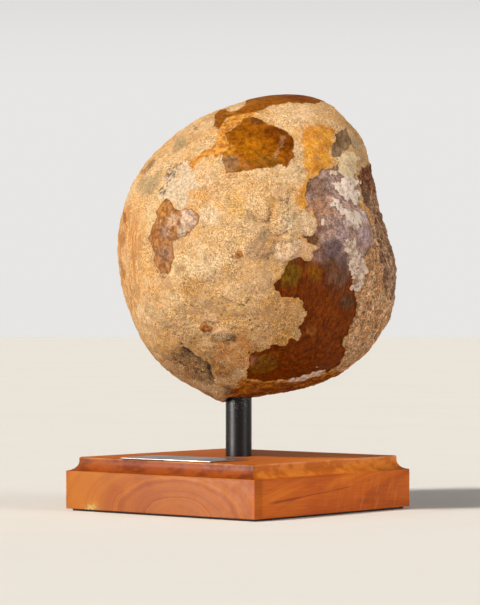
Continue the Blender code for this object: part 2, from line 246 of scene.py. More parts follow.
# Soft stains, and on the crust also painted shade (a darker left edge and underside) and painted light
# (lighter places): place and radius in photo pixels, colour and strength
CRUST_STAINS_AND_SHADING = (
    (197, 178, 16, 0.84, 0.6, 0.36, 0.55), (178, 147, 10, 0.4, 0.28, 0.14, 0.7),
    (161, 153, 10, 0.66, 0.42, 0.19, 0.7), (149, 187, 10, 0.36, 0.25, 0.1, 0.75),
    (157, 176, 7, 0.44, 0.29, 0.12, 0.55), (204, 146, 12, 0.74, 0.56, 0.31, 0.55),
    (148, 168, 14, 0.34, 0.185, 0.07, 0.95), (158, 168, 3, 0.95, 0.8, 0.62, 0.7),
    (160, 212, 5, 0.6, 0.28, 0.06, 0.5), (238, 106, 6, 0.9, 0.64, 0.46, 0.8),
    (220, 166, 7, 0.58, 0.44, 0.22, 0.4), (236, 206, 12, 0.84, 0.5, 0.14, 0.65),
    (235, 226, 9, 0.68, 0.43, 0.21, 0.55), (208, 184, 6, 0.92, 0.62, 0.42, 0.45),
    (206, 215, 13, 0.95, 0.76, 0.53, 0.75), (205, 268, 16, 0.92, 0.69, 0.44, 0.8),
    (263, 248, 14, 0.43, 0.265, 0.155, 0.85), (275, 238, 6, 0.64, 0.31, 0.12, 0.65),
    (266, 233, 6, 0.42, 0.32, 0.17, 0.6), (251, 215, 8, 0.44, 0.28, 0.14, 0.5),
    (286, 206, 11, 0.92, 0.66, 0.39, 0.7), (124, 205, 12, 0.54, 0.24, 0.07, 0.8),
    (121, 238, 14, 0.46, 0.2, 0.055, 0.9), (122, 272, 14, 0.46, 0.21, 0.058, 0.9),
    (130, 308, 12, 0.56, 0.28, 0.085, 0.75), (132, 254, 9, 0.62, 0.35, 0.13, 0.65),
    (135, 290, 9, 0.64, 0.41, 0.18, 0.6), (289, 223, 9, 0.95, 0.76, 0.52, 0.85),
    (258, 283, 14, 0.9, 0.6, 0.34, 0.6), (205, 128, 14, 0.88, 0.66, 0.4, 0.6),
    (290, 111, 24, 0.95, 0.7, 0.43, 0.75), (350, 127, 9, 0.56, 0.42, 0.28, 0.8),
    (356, 142, 11, 0.58, 0.45, 0.31, 0.9), (361, 158, 9, 0.6, 0.4, 0.24, 0.85),
    (297, 170, 12, 0.92, 0.68, 0.42, 0.85), (300, 143, 7, 0.92, 0.68, 0.44, 0.5),
    (182, 266, 17, 0.95, 0.71, 0.41, 0.75), (182, 268.5, 5, 0.34, 0.18, 0.07, 0.6),
    (171, 303, 13, 0.92, 0.67, 0.39, 0.7), (164, 325, 9, 0.56, 0.38, 0.14, 0.45),
    (225, 300, 26, 0.76, 0.48, 0.2, 0.4), (284, 310, 24, 0.78, 0.42, 0.15, 0.8),
    (284, 338, 12, 0.72, 0.36, 0.07, 0.75), (252, 352, 9, 0.7, 0.36, 0.08, 0.55),
    (234, 356, 22, 0.74, 0.32, 0.075, 0.8), (207, 305, 6, 0.36, 0.22, 0.12, 0.55),
    (192, 377, 12, 0.48, 0.215, 0.06, 0.85), (180, 374, 9, 0.56, 0.26, 0.07, 0.75),
    (221, 370, 14, 0.46, 0.2, 0.05, 0.9), (161, 361, 4, 0.52, 0.21, 0.03, 0.85),
    (172, 373, 5, 0.48, 0.19, 0.03, 0.85), (188, 385, 7, 0.42, 0.16, 0.02, 0.85),
    (206, 394, 8, 0.42, 0.17, 0.03, 0.8), (220, 385, 4, 0.7, 0.38, 0.06, 0.7),
    (232, 391, 12, 0.24, 0.12, 0.05, 0.8),
)
BONE_STAINS = (
    (289, 275, 13, 0.115, 0.054, 0.003, 0.95), (317, 273, 10, 0.185, 0.062, 0.001, 0.8),
    (307, 262, 6, 0.13, 0.03, 0.001, 0.7), (341, 274, 16, 0.125, 0.055, 0.032, 0.95),
    (350, 303, 9, 0.08, 0.036, 0.014, 0.85), (329, 316, 16, 0.14, 0.027, 0.0005, 0.85),
    (312, 331, 6, 0.26, 0.09, 0.02, 0.55), (263, 366, 15, 0.15, 0.062, 0.006, 0.85),
    (251, 362, 6, 0.24, 0.09, 0.05, 0.85), (290, 366, 9, 0.115, 0.026, 0.001, 0.6),
    (317, 186, 14, 0.2, 0.11, 0.07, 0.9), (333, 180, 9, 0.3, 0.2, 0.165, 0.8),
    (319, 209, 11, 0.36, 0.17, 0.085, 0.75), (331, 207, 9, 0.33, 0.185, 0.12, 0.7),
    (319, 226, 8, 0.28, 0.12, 0.065, 0.8), (329, 231, 8, 0.36, 0.22, 0.165, 0.7),
    (312, 241, 8, 0.14, 0.05, 0.01, 0.95), (325, 249, 6, 0.17, 0.065, 0.02, 0.85),
    (341, 235, 9, 0.34, 0.24, 0.23, 0.8), (362, 218, 9, 0.56, 0.44, 0.41, 0.9),
    (364, 236, 11, 0.38, 0.27, 0.285, 0.9), (333, 249, 11, 0.11, 0.068, 0.07, 0.95),
    (345, 258, 9, 0.135, 0.08, 0.07, 0.9), (333, 266, 9, 0.095, 0.034, 0.012, 0.9),
    (346, 223, 6, 0.52, 0.4, 0.36, 0.8), (163, 211, 6, 0.52, 0.22, 0.035, 0.8),
    (155, 234, 7, 0.38, 0.135, 0.025, 0.8), (166, 231, 8, 0.38, 0.205, 0.125, 0.85),
    (174, 220, 7, 0.72, 0.46, 0.28, 0.85), (188, 219, 11, 0.72, 0.5, 0.36, 0.95),
    (182, 231, 7, 0.64, 0.48, 0.33, 0.85), (166, 253, 8, 0.4, 0.205, 0.115, 0.85),
    (163, 267, 5, 0.36, 0.135, 0.035, 0.8), (256, 121, 7, 0.19, 0.06, 0.012, 0.85),
    (272, 130, 12, 0.2, 0.045, 0.001, 0.9), (288, 140, 12, 0.19, 0.042, 0.001, 0.95),
    (240, 134, 9, 0.36, 0.115, 0.001, 0.6), (252, 150, 14, 0.46, 0.155, 0.004, 0.75),
    (231, 152, 8, 0.62, 0.26, 0.02, 0.7), (232, 165, 10, 0.32, 0.165, 0.065, 0.9),
    (246, 167, 7, 0.4, 0.17, 0.04, 0.55), (292, 156, 7, 0.34, 0.085, 0.01, 0.8),
    (268, 160, 10, 0.28, 0.105, 0.01, 0.8), (250, 104, 8, 0.46, 0.17, 0.01, 0.75),
    (231, 113, 6, 0.5, 0.2, 0.02, 0.6), (218, 119, 6, 0.34, 0.11, 0.01, 0.6),
    (300, 97, 16, 0.22, 0.05, 0.001, 0.9), (325, 96, 12, 0.2, 0.045, 0.001, 0.9),
    (272, 98, 12, 0.3, 0.085, 0.001, 0.8),
)
# The markings' names, three to each mesh attribute
MARKS = (
    "recess", "gloss", "side", "white", "flake", "ochre", "amber", "olive", "chip", "ridge",
    "crease", "scratch", "open", "coarse", "purple", "lumpy", "chalky", "soot", "grey", "eroded",
    "streaked", "crest", "grit", "pits", "upper", "shaded_underside", "plate", "crack", "dip", "painted_flake_shadow",
)
# Markings that are plain patches: their outlines, and how ragged their edges are
PATCHES = (
    ("recess", (RECESS_PX,), 1.0), ("white", WHITE_PX, 1.5), ("flake", FLAKE_PX, 0.25),
    ("ochre", (OCHRE_PX,), 1.0), ("amber", (AMBER_PX,), 1.3), ("olive", (OLIVE_PX,), 0.7),
    ("coarse", (COARSE_PX,), 1.5), ("chalky", (CHALKY_PX,), 2.5), ("soot", SOOT_PX, 1.0),
    ("grey", GREY_PX, 0.8), ("eroded", (ERODED_PX,), 1.6), ("streaked", (STREAKED_PX,), 2.0),
    ("shaded_underside", (UNDER_PX,), 1.5), ("plate", PLATE_PX, 1.0),
)
# Markings that step up or down: where the step starts and ends, and its height, in millimetres
STEPS = (
    ("recess", -0.35, 0.35, -0.9), ("gloss", -0.3, 0.3, 0.5), ("side", -0.3, 0.3, 0.5),
    ("white", -0.3, 0.4, 0.55), ("flake", -0.2, 0.2, 0.35), ("chip", -0.4, 0.8, 0.6),
    ("olive", -0.3, 0.3, 0.3), ("grey", -0.5, 1.5, 0.2), ("plate", -0.3, 0.3, 0.6),
    ("crack", -0.8, 0.3, -0.4), ("dip", -1.0, 4.0, -1.0), ("eroded", -4.0, 3.0, -0.9),
    ("crease", -1.5, 1.0, -1.5), ("ridge", -0.6, 0.8, 0.9),
)
DIP_AT_PX = (365.0, 195.0)
LUMPY_AT_PX = (284.0, 234.0)
PURPLE_FROM_PX = (335.0, 262.0)
UPPER_FROM_PX = (348.0, 178.0)
# How far the painted shadow under the flakes and plates falls from them, in millimetres
FLAKE_SHADOW_SHIFT = np.array((0.7, -0.9))
NOTCH_DEPTH = 3.2


def mm(*values):
    return tuple(v * 0.001 for v in values)


def smooth_step(x, low, high):
    t = np.clip((x - low) / (high - low), 0, 1)
    return t * t * (3 - 2 * t)


def fractal(points, size, octaves, offset=0.0):
    shift = Vector((offset, 2.0 * offset, 0.7 * offset))
    return np.array([noise.fractal(Vector(p) / size + shift, 0.9, 2.0, octaves) for p in points])


def cell_distance(points, size, offset=0.0):
    # Distance to the nearest of a set of scattered points, in cell sizes.
    shift = Vector((offset, offset, offset))
    return np.array([noise.voronoi(Vector(p) / size + shift)[0][0] for p in points])


# The bone's shape


def outline_radius(phi):
    angles = np.radians([p[0] for p in OUTLINE])
    radii = np.array([p[1] for p in OUTLINE])
    ends = np.concatenate([angles[-2:] - 2 * math.pi, angles, angles[:2] + 2 * math.pi])
    values = np.concatenate([radii[-2:], radii, radii[:2]])
    slopes = np.gradient(values, ends)
    phi = (phi - angles[0]) % (2 * math.pi) + angles[0]
    k = np.clip(np.searchsorted(ends, phi) - 1, 0, len(ends) - 2)
    width = ends[k + 1] - ends[k]
    t = (phi - ends[k]) / width
    blend = t * t * (3 - 2 * t)
    curve = (1 - blend) * values[k] + blend * values[k + 1]
    return curve + t * (1 - t) * width * ((1 - t) * slopes[k] - t * slopes[k + 1])


def direction(turn_deg, tilt_deg):
    turn = math.radians(turn_deg)
    tilt = math.radians(tilt_deg)
    return np.array([math.sin(tilt) * math.cos(turn), math.sin(tilt) * math.sin(turn), math.cos(tilt)])


def photo_direction(px, py):
    # The direction from the bone's centre to the surface point seen at a photo pixel. A pixel outside the
    # outline goes round to the back.
    x = (px - PHOTO_WIDTH / 2) / FOCAL_PX
    y = (PHOTO_HEIGHT / 2 - py) / FOCAL_PX
    depth = 60.0
    for _ in range(8):
        scale = CAMERA_DISTANCE - depth
        r = x * scale + CAMERA_SHIFT - HEAD_CENTRE_R
        u = y * scale + CAMERA_HEIGHT - HEAD_CENTRE_Z
        phi = math.atan2(u, r)
        across = math.hypot(r, u) / float(outline_radius(np.array([phi]))[0])
        depth = FRONT_DEPTH * math.sqrt(max(0.0, 1.0 - across * across))
    tilt = math.atan2(math.hypot(r, u), depth) if across < 1.0 else math.pi / 2 + 4.0 * (across - 1.0)
    return direction(math.degrees(phi), math.degrees(tilt))


def unrolled(d):
    # The surface laid flat around the front axis, in millimetres.
    tilt = np.arccos(np.clip(d[..., 2], -1, 1))
    flat = np.maximum(np.hypot(d[..., 0], d[..., 1]), 1e-9)
    return FRONT_DEPTH * np.stack([tilt * d[..., 0] / flat, tilt * d[..., 1] / flat], axis=-1)


def line_distance(p, points_px, closed=False):
    corners = [unrolled(photo_direction(*c)) for c in points_px]
    ends = corners[1:] + corners[:1] if closed else corners[1:]
    nearest = np.full(len(p), 1e9)
    for a, b in zip(corners, ends):
        edge = b - a
        t = np.clip(((p - a) @ edge) / (edge @ edge), 0, 1)
        nearest = np.minimum(nearest, np.linalg.norm(p - a - t[:, None] * edge, axis=1))
    return nearest


def patch_depth(p, outline_px):
    # Distance in millimetres from a patch's edge, above zero inside it.
    corners = [unrolled(photo_direction(*c)) for c in outline_px]
    inside = np.zeros(len(p), bool)
    for a, b in zip(corners, corners[1:] + corners[:1]):
        crosses = (a[1] > p[:, 1]) != (b[1] > p[:, 1])
        rise = b[1] - a[1] if b[1] != a[1] else 1e-9
        inside ^= crosses & (p[:, 0] < a[0] + (p[:, 1] - a[1]) / rise * (b[0] - a[0]))
    nearest = line_distance(p, outline_px, closed=True)
    return np.where(inside, nearest, -nearest)


def deepest(p, outlines):
    return np.max([patch_depth(p, outline) for outline in outlines], axis=0)


def head_form(d):
    # The bone's large shape: its distance from the centre, and how far each direction is inside the broken
    # neck face.
    phi = np.arctan2(d[:, 1], d[:, 0])
    across = np.hypot(d[:, 0], d[:, 1])
    depth = np.where(d[:, 2] > 0, FRONT_DEPTH, BACK_DEPTH)
    spread = np.radians([-50.0, -30.0, -10.0, 10.0, 30.0, 50.0])
    even = np.mean([outline_radius(phi + turn) for turn in spread], axis=0)
    near_outline = smooth_step(across, 0.6, 0.98)
    outline = even + near_outline * (outline_radius(phi) - even)
    ball = 1.0 / np.sqrt((across / outline) ** 2 + (d[:, 2] / depth) ** 2)
    facing = d @ NECK_NORMAL
    face = np.where(facing > 0.25, NECK_DISTANCE / np.maximum(facing, 0.25), 400.0)
    overlap = np.maximum(NECK_BLEND - np.abs(ball - face), 0) / NECK_BLEND
    radius = np.minimum(ball, face) - overlap**2 * NECK_BLEND / 4

    points = d * radius[:, None]
    broken = smooth_step(ball - face, 0.0, 7.0)
    from_axis = np.linalg.norm(points - facing[:, None] * radius[:, None] * NECK_NORMAL, axis=1)
    radius -= broken * NECK_HOLLOW * np.clip(1 - (from_axis / 62.0) ** 2, 0, 1)
    radius += broken * NECK_LEDGE * smooth_step(fractal(points, 34.0, 2, 4.0), -0.06, 0.06)
    radius += broken * NECK_ROUGH * fractal(points, 15.0, 4)
    on_rim = np.exp(-(((ball - face - 2.0) / 4.0) ** 2))
    radius += RIM_HEIGHT * on_rim * (1.0 + fractal(points, 18.0, 2, 5.0))

    side_on = np.exp(-((d[:, 2] / 0.22) ** 2))
    calm = (1 - 0.8 * side_on) * (1 - broken)
    radius += calm * (1.1 * fractal(points, 46.0, 2, 9.0) + 0.45 * fractal(points, 14.0, 2, 3.0))

    hollow = np.linalg.norm(points - direction(*HOLLOW_AT) * 90.0, axis=1)
    uneven = 1.0 + 0.6 * fractal(points, 9.0, 2, 2.0)
    radius -= HOLLOW_DEPTH * np.exp(-((hollow / HOLLOW_RADIUS) ** 2)) * uneven

    coarse = np.linalg.norm(points - direction(*COARSE_AT) * 87.0, axis=1)
    coarse = smooth_step(-coarse, -COARSE_RADIUS, -0.5 * COARSE_RADIUS)
    radius += COARSE_ROUGH * coarse * fractal(points, 7.0, 2, 7.0)

    ridge = [direction(*p) for p in RIDGE_POINTS]
    away = np.full(len(d), 1e9)
    for a, b in zip(ridge, ridge[1:]):
        edge = b - a
        t = np.clip(((d - a) @ edge) / (edge @ edge), 0, 1)
        away = np.minimum(away, np.linalg.norm(d - a - t[:, None] * edge, axis=1) * 80.0)
    radius += RIDGE_HEIGHT * np.exp(-((away / RIDGE_WIDTH) ** 2))
    return radius, ball - face


def stained_and_shaded(p, uneven, base, stains):
    tint = base
    for px, py, radius_px, *colour, strength in stains:
        centre = unrolled(photo_direction(px, py))
        away = np.linalg.norm(p - centre, axis=1) / (radius_px * 0.6) + uneven
        amount = strength * (1 - smooth_step(away, 0.6, 1.35))
        tint = tint + amount[:, None] * (np.array(colour) - tint)
    return tint


def markings(d, points, neck):
    # How deep each surface point lies in each kind of marking, in millimetres, and the tints of crust and
    # bare bone.
    p = unrolled(d)
    ragged = 1.9 * fractal(points, 6.0, 2, 11.0) + 1.5 * fractal(points, 2.6, 2, 12.0)
    calm_edge = 1.2 * fractal(points, 3.5, 3, 13.0)
    hidden = smooth_step(-d[:, 2], 0.12, 0.35)
    drift = fractal(points, 58.0, 2, 21.0) + 0.3 * fractal(points, 13.0, 3, 22.0)
    behind = np.where(hidden > 0.01, 20.0 * (drift - 0.4) - 30.0 * (1 - hidden), -60.0)
    behind = np.minimum(behind, -neck - 2.0) + ragged
    on_top = np.minimum(20.0 * (-drift - 0.46) - 30.0 * (1 - hidden), -neck - 2.0) + ragged
    at_limb = 14.0 * fractal(points, 26.0, 3, 23.0) + 10.0 * fractal(points, 12.0, 3, 29.0)
    at_limb *= smooth_step(-d[:, 2], -0.3, 0.05)
    # On the hidden side the broken face and the open patch run into one another.
    soft = 0.5 + 9.0 * smooth_step(-d[:, 2], 0.0, 0.3)
    open_patch = (patch_depth(p, OPEN_BONE_PX) + at_limb) / soft
    open_bone = soft * np.logaddexp(open_patch, (neck + at_limb) / soft)
    shade = fractal(points, 24.0, 3, 31.0)
    patchy = fractal(points, 9.0, 2, 33.0)
    # Spots seen edge-on in the photograph are broken up where they run round the side.
    uneven = (0.45 + 1.1 * smooth_step(-d[:, 2], -0.42, -0.1)) * patchy
    marks = {name: deepest(p, outlines) + edge * ragged for name, outlines, edge in PATCHES}
    marks["recess"] = np.maximum(marks["recess"], behind)
    marks["gloss"] = np.maximum(deepest(p, (TOP_PX, BAND_PX)) + calm_edge, on_top)
    marks["side"] = patch_depth(p, SIDE_PX) + calm_edge
    marks["chip"] = deepest(p, CHIP_PX) + 0.4 * calm_edge
    marks["open"] = open_bone + ragged
    marks["coarse"] += at_limb
    marks["streaked"] += 1.4 * at_limb
    # Painted shadow: the flakes and plates shifted down and to the right, as their shadows fall
    marks["painted_flake_shadow"] = deepest(p - FLAKE_SHADOW_SHIFT, FLAKE_PX + PLATE_PX) + 0.8 * ragged
    lines = (("ridge", RIDGE_PX, 0.7), ("crease", CREASE_PX, 1.3), ("scratch", SCRATCH_PX, 0.8))
    for name, line, edge in lines:
        marks[name] = 1.0 - line_distance(p, line) + edge * ragged
    marks["crest"] = line_distance(p, CREST_PX) + 0.6 * ragged
    marks["crack"] = 0.2 - np.min([line_distance(p, line) for line in CRACK_PX], axis=0) + 0.9 * ragged
    for name, (px, py), radius, edge in (("dip", DIP_AT_PX, 8.0, 1.5), ("lumpy", LUMPY_AT_PX, 19.0, 2.0)):
        from_middle = np.linalg.norm(p - unrolled(photo_direction(px, py)), axis=1)
        marks[name] = radius - from_middle + edge * ragged
    marks["grit"] = 0.5 + (0.8 * p[:, 0] - 0.75 * p[:, 1]) / 110.0 + 0.5 * patchy
    purple_from = unrolled(photo_direction(*PURPLE_FROM_PX))
    marks["purple"] = (p[:, 1] - purple_from[1]) * 0.9 + (p[:, 0] - purple_from[0]) * 0.35 + 1.5 * ragged
    marks["upper"] = p[:, 1] - unrolled(photo_direction(*UPPER_FROM_PX))[1] + ragged

    cream = np.array((0.84, 0.52, 0.24))
    pale = np.array((0.86, 0.595, 0.32))
    golden = np.array((0.8, 0.445, 0.155))
    base = cream + smooth_step(shade, 0.0, 0.5)[:, None] * (pale - cream)
    base = base + smooth_step(-shade, 0.1, 0.6)[:, None] * (golden - base)
    brown = np.array((0.118, 0.022, 0.0003))
    plum = np.array((0.34, 0.215, 0.175))
    bare = brown + smooth_step(marks["purple"], -8.0, 7.0)[:, None] * (plum - brown)
    golden_brown = np.array((0.34, 0.1, 0.002))
    tan = np.array((0.44, 0.185, 0.055))
    bare = bare + smooth_step(marks["gloss"], -4.0, -1.0)[:, None] * (golden_brown - bare)
    bare = bare + smooth_step(marks["side"], -3.0, -0.5)[:, None] * (tan - bare)
    return marks, stained_and_shaded(p, uneven, base, CRUST_STAINS_AND_SHADING), stained_and_shaded(p, uneven, bare, BONE_STAINS)


def before_post(points):
    # The bone just in front of the post, where it stands higher and leaves the top of the post in view.
    across = smooth_step(points[:, 0], -20.3, -18.7) * (1 - smooth_step(points[:, 0], -15.0, -4.0))
    deep = smooth_step(points[:, 2], -3.0, 3.0) * (1 - smooth_step(points[:, 2], 12.0, 26.0))
    return across * deep * (points[:, 1] < 0.0)


def relief(points, marks):
    # Heights of steps, flakes, grains and pits over the large shape, in millimetres.
    step = smooth_step(marks["recess"], -0.35, 0.35)
    flat_marks = ("gloss", "side", "white", "olive", "flake")
    smooth = np.max([step, *(smooth_step(marks[k], -0.3, 0.3) for k in flat_marks)], axis=0)
    height = -NOTCH_DEPTH * before_post(points)
    for name, start, end, rise in STEPS:
        height += rise * smooth_step(marks[name], start, end)
    rough = smooth_step(marks["open"], -2.0, 2.0)
    coarse = smooth_step(marks["coarse"], -4.0, 6.0) * (1 - step)
    gritty = smooth_step(marks["grit"], 0.2, 0.8)
    grain = (0.35 + 0.35 * gritty) * fractal(points, 3.4, 2, 41.0) + 0.5 * fractal(points, 8.0, 2, 42.0)
    height += grain * (1 - 0.88 * smooth)
    lumpy = smooth_step(marks["lumpy"], -3.0, 9.0) * (1 - step) * (1 - 0.6 * smooth)
    plates = smooth_step(fractal(points, 7.0, 2, 45.0), -0.08, 0.1)
    height += lumpy * (1.2 * plates + 0.6 * fractal(points, 3.6, 2, 46.0))
    pit = smooth_step(0.42 - cell_distance(points, 3.6, 3.0), 0.0, 0.26)
    fine_pit = smooth_step(0.4 - cell_distance(points, 2.2, 8.0), 0.0, 0.25)
    height -= rough * (1.5 * pit + 0.5 * fine_pit)
    height += rough * 0.7 * fractal(points, 4.2, 2, 43.0)
    height -= coarse * (1 - rough) * (0.5 * pit + 0.4 * fine_pit)
    eroded = smooth_step(marks["eroded"], -1.0, 2.0)
    height -= eroded * 0.6 * (pit + fine_pit)
    marks["pits"] = np.clip((rough + 0.6 * coarse + 0.7 * eroded) * (pit + 0.6 * fine_pit), 0, 1)
    return height


def cube_sphere(n):
    # Unit directions on a sphere from the six faces of a cube, with evenly spread angles, and their quads.
    angle = np.tan(np.linspace(-math.pi / 4, math.pi / 4, n + 1))
    a, b = np.meshgrid(angle, angle, indexing="ij")
    one = np.ones_like(a)
    sides = [(one, a, b), (-one, b, a), (b, one, a), (a, -one, b), (a, b, one), (b, a, -one)]
    points = np.concatenate([np.stack(s, -1).reshape(-1, 3) for s in sides])
    points /= np.linalg.norm(points, axis=1)[:, None]
    row = np.arange(n)
    corner = (row[:, None] * (n + 1) + row[None, :]).ravel()
    quad = np.stack([corner, corner + n + 1, corner + n + 2, corner + 1], -1)
    quads = np.concatenate([quad + k * (n + 1) ** 2 for k in range(6)])
    _, first, same = np.unique(np.round(points, 6), axis=0, return_index=True, return_inverse=True)
    return points[first], same.reshape(-1)[quads]


def to_scene(local):
    world = local[:, :1] * SIDE + local[:, 2:] * FRONT
    world = world + SIDE * HEAD_CENTRE_R
    world[:, 2] += local[:, 1] + HEAD_CENTRE_Z
    return world * 0.001


def write_attribute(mesh, name, columns):
    data = np.zeros((len(mesh.vertices), 3), np.float32)
    for i, column in enumerate(columns):
        data[:, i] = column
    attribute = mesh.attributes.new(name, "FLOAT_VECTOR", "POINT")
    attribute.data.foreach_set("vector", data.ravel())


def linked(name, data):
    obj = bpy.data.objects.new(name, data)
    bpy.context.scene.collection.objects.link(obj)
    return obj


def mesh_object(name, vertices, faces):
    mesh = bpy.data.meshes.new(name)
    mesh.from_pydata([tuple(v) for v in vertices], [], [tuple(int(i) for i in f) for f in faces])
    mesh.update()
    return linked(name, mesh)


def post_size():
    low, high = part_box("post")
    return (high.x - low.x) / 2, low.z, high.z


def cut_post_hole(head):
    radius, _, top = post_size()
    hole_radius = radius + FIT_GAP
    bm = bmesh.new()
    bmesh.ops.create_cone(
        bm, cap_ends=True, segments=HOLE_SIDES, radius1=hole_radius, radius2=hole_radius, depth=CUTTER_LENGTH
    )
    bmesh.ops.translate(bm, verts=bm.verts, vec=(0.0, 0.0, top + FIT_GAP - CUTTER_LENGTH / 2))
    mesh = bpy.data.meshes.new("hole_cutter")
    bm.to_mesh(mesh)
    bm.free()
    cutter = linked("hole_cutter", mesh)
    hole = head.modifiers.new("hole", "BOOLEAN")
    hole.operation = "DIFFERENCE"
    hole.solver = "EXACT"
    hole.object = cutter
    depsgraph = bpy.context.evaluated_depsgraph_get()
    cut = bpy.data.meshes.new_from_object(head.evaluated_get(depsgraph))
    old = head.data
    head.modifiers.clear()
    head.data = cut
    bpy.data.meshes.remove(old)
    bpy.data.objects.remove(cutter, do_unlink=True)
    bpy.data.meshes.remove(mesh)


def inside_solid(vertices, band=0.03, clearance=0.00002):
    # Draws the outermost bumps in smoothly, so that the bone stays inside its solid's box.
    low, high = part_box("femur_head")
    for axis in range(3):
        for side, limit in ((1.0, high[axis]), (-1.0, -low[axis])):
            along = side * vertices[:, axis]
            over = max(along.max() - limit + clearance, 0.0)
            inner = along.max() - band
            vertices[:, axis] -= side * over * smooth_step(along, inner, inner + band)
    return vertices


def build_head():
    d, quads = cube_sphere(HEAD_GRID)
    radius, neck = head_form(d)
    points = d * radius[:, None]
    marks, crust_tint, bare_tint = markings(d, points, neck)
    height = relief(points, marks)
    surface = to_scene(d * (radius + height)[:, None])
    head = mesh_object("bone", inside_solid(surface), quads)
    mesh = head.data
    for k in range(0, len(MARKS), 3):
        write_attribute(mesh, f"marks_{k // 3}", [marks[name] for name in MARKS[k : k + 3]])
    write_attribute(mesh, "crust_tint", crust_tint.T)
    write_attribute(mesh, "bare_tint", bare_tint.T)
    mesh.materials.append(bone_material())
    bm = bmesh.new()
    bm.from_mesh(mesh)
    bmesh.ops.recalc_face_normals(bm, faces=bm.faces)
    bm.to_mesh(mesh)
    bm.free()
    mesh.shade_smooth()
    cut_post_hole(head)
    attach(head, "root")
    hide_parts("femur_head")


# Materials


class Graph:
    # Short names for the nodes that the materials use.

    def __init__(self, name):
        self.material = bpy.data.materials.new(name)
        self.material.use_nodes = True
        self.tree = self.material.node_tree
        self.shader = self.tree.nodes["Principled BSDF"]
        self.place = self.tree.nodes.new("ShaderNodeTexCoord").outputs["Object"]

    def node(self, kind, inputs, **settings):
        made = self.tree.nodes.new(kind)
        for key, value in settings.items():
            setattr(made, key, value)
        for key, value in inputs.items():
            self.feed(made.inputs[key], value)
        return made

    def feed(self, socket, value):
        if isinstance(value, bpy.types.NodeSocket):
            self.tree.links.new(value, socket)
        elif isinstance(value, tuple) and len(value) == 3 and socket.type == "RGBA":
            socket.default_value = (*value, 1.0)
        else:
            socket.default_value = value

    def set(self, name, value):
        self.feed(self.shader.inputs[name], value)

    def noise(self, size_mm, detail=3.0, rough=0.55, place=None):
        inputs = {"Vector": place or self.place, "Scale": 1000.0 / size_mm}
        inputs.update({"Detail": detail, "Roughness": rough})
        return self.node("ShaderNodeTexNoise", inputs).outputs["Fac"]

    def warped(self, size_mm, amount_mm):
        inputs = {"Vector": self.place, "Scale": 1000.0 / size_mm, "Detail": 2.0}
        colour = self.node("ShaderNodeTexNoise", inputs).outputs["Color"]
        reach = mm(*[2 * amount_mm] * 3)
        shift = self.vector_math("MULTIPLY", self.vector_math("SUBTRACT", colour, (0.5, 0.5, 0.5)), reach)
        return self.vector_math("ADD", self.place, shift)

    def cells(self, size_mm, place):
        return self.node("ShaderNodeTexVoronoi", {"Vector": place, "Scale": 1000.0 / size_mm}).outputs

    def grains(self, size_mm, place):
        # Distance from each grain's middle, and a number by chance for each grain.
        made = self.cells(size_mm, place)
        return made["Distance"], self.node("ShaderNodeSeparateColor", {0: made["Color"]}).outputs[0]

    def marks(self):
        found = {}
        for k in range(0, len(MARKS), 3):
            found.update(zip(MARKS[k : k + 3], self.parts(f"marks_{k // 3}")))
        return found

    def math(self, operation, a, b=0.0, clamp=False):
        return self.node("ShaderNodeMath", {0: a, 1: b}, operation=operation, use_clamp=clamp).outputs[0]

    def vector_math(self, operation, a, b):
        return self.node("ShaderNodeVectorMath", {0: a, 1: b}, operation=operation).outputs[0]

    def both(self, a, b):
        return self.math("MULTIPLY", a, b)

    def add(self, a, b):
        return self.math("ADD", a, b)

    def minus(self, a, b, clamp=False):
        return self.math("SUBTRACT", a, b, clamp)

    def most(self, a, b):
        return self.math("MAXIMUM", a, b)

    def around(self, value, amount):
        # A noise turned into a shift of up to half the amount either way.
        return self.both(self.minus(value, 0.5), amount)

    def fit(self, value, low, high, to_low=0.0, to_high=1.0):
        inputs = {"Value": value, "From Min": low, "From Max": high, "To Min": to_low, "To Max": to_high}
        return self.node("ShaderNodeMapRange", inputs, interpolation_type="SMOOTHSTEP").outputs[0]

    def mix(self, factor, a, b, blend="MIX"):
        inputs = {0: factor, 6: a, 7: b}
        return self.node("ShaderNodeMix", inputs, data_type="RGBA", blend_type=blend).outputs[2]

    def blend(self, factor, a, b):
        return self.node("ShaderNodeMix", {0: factor, 2: a, 3: b}).outputs[0]

    def attribute(self, name):
        return self.node("ShaderNodeAttribute", {}, attribute_name=name)

    def parts(self, name):
        vector = self.attribute(name).outputs["Vector"]
        return self.node("ShaderNodeSeparateXYZ", {0: vector}).outputs

    def times(self, colour, by):
        return self.mix(1.0, colour, by, "MULTIPLY")

    def bump(self, height, distance_mm, strength=1.0):
        inputs = {"Height": height, "Distance": distance_mm * 0.001, "Strength": strength}
        return self.node("ShaderNodeBump", inputs).outputs[0]

    def stretched(self, scale):
        return self.node("ShaderNodeMapping", {"Vector": self.place, "Scale": scale}).outputs[0]


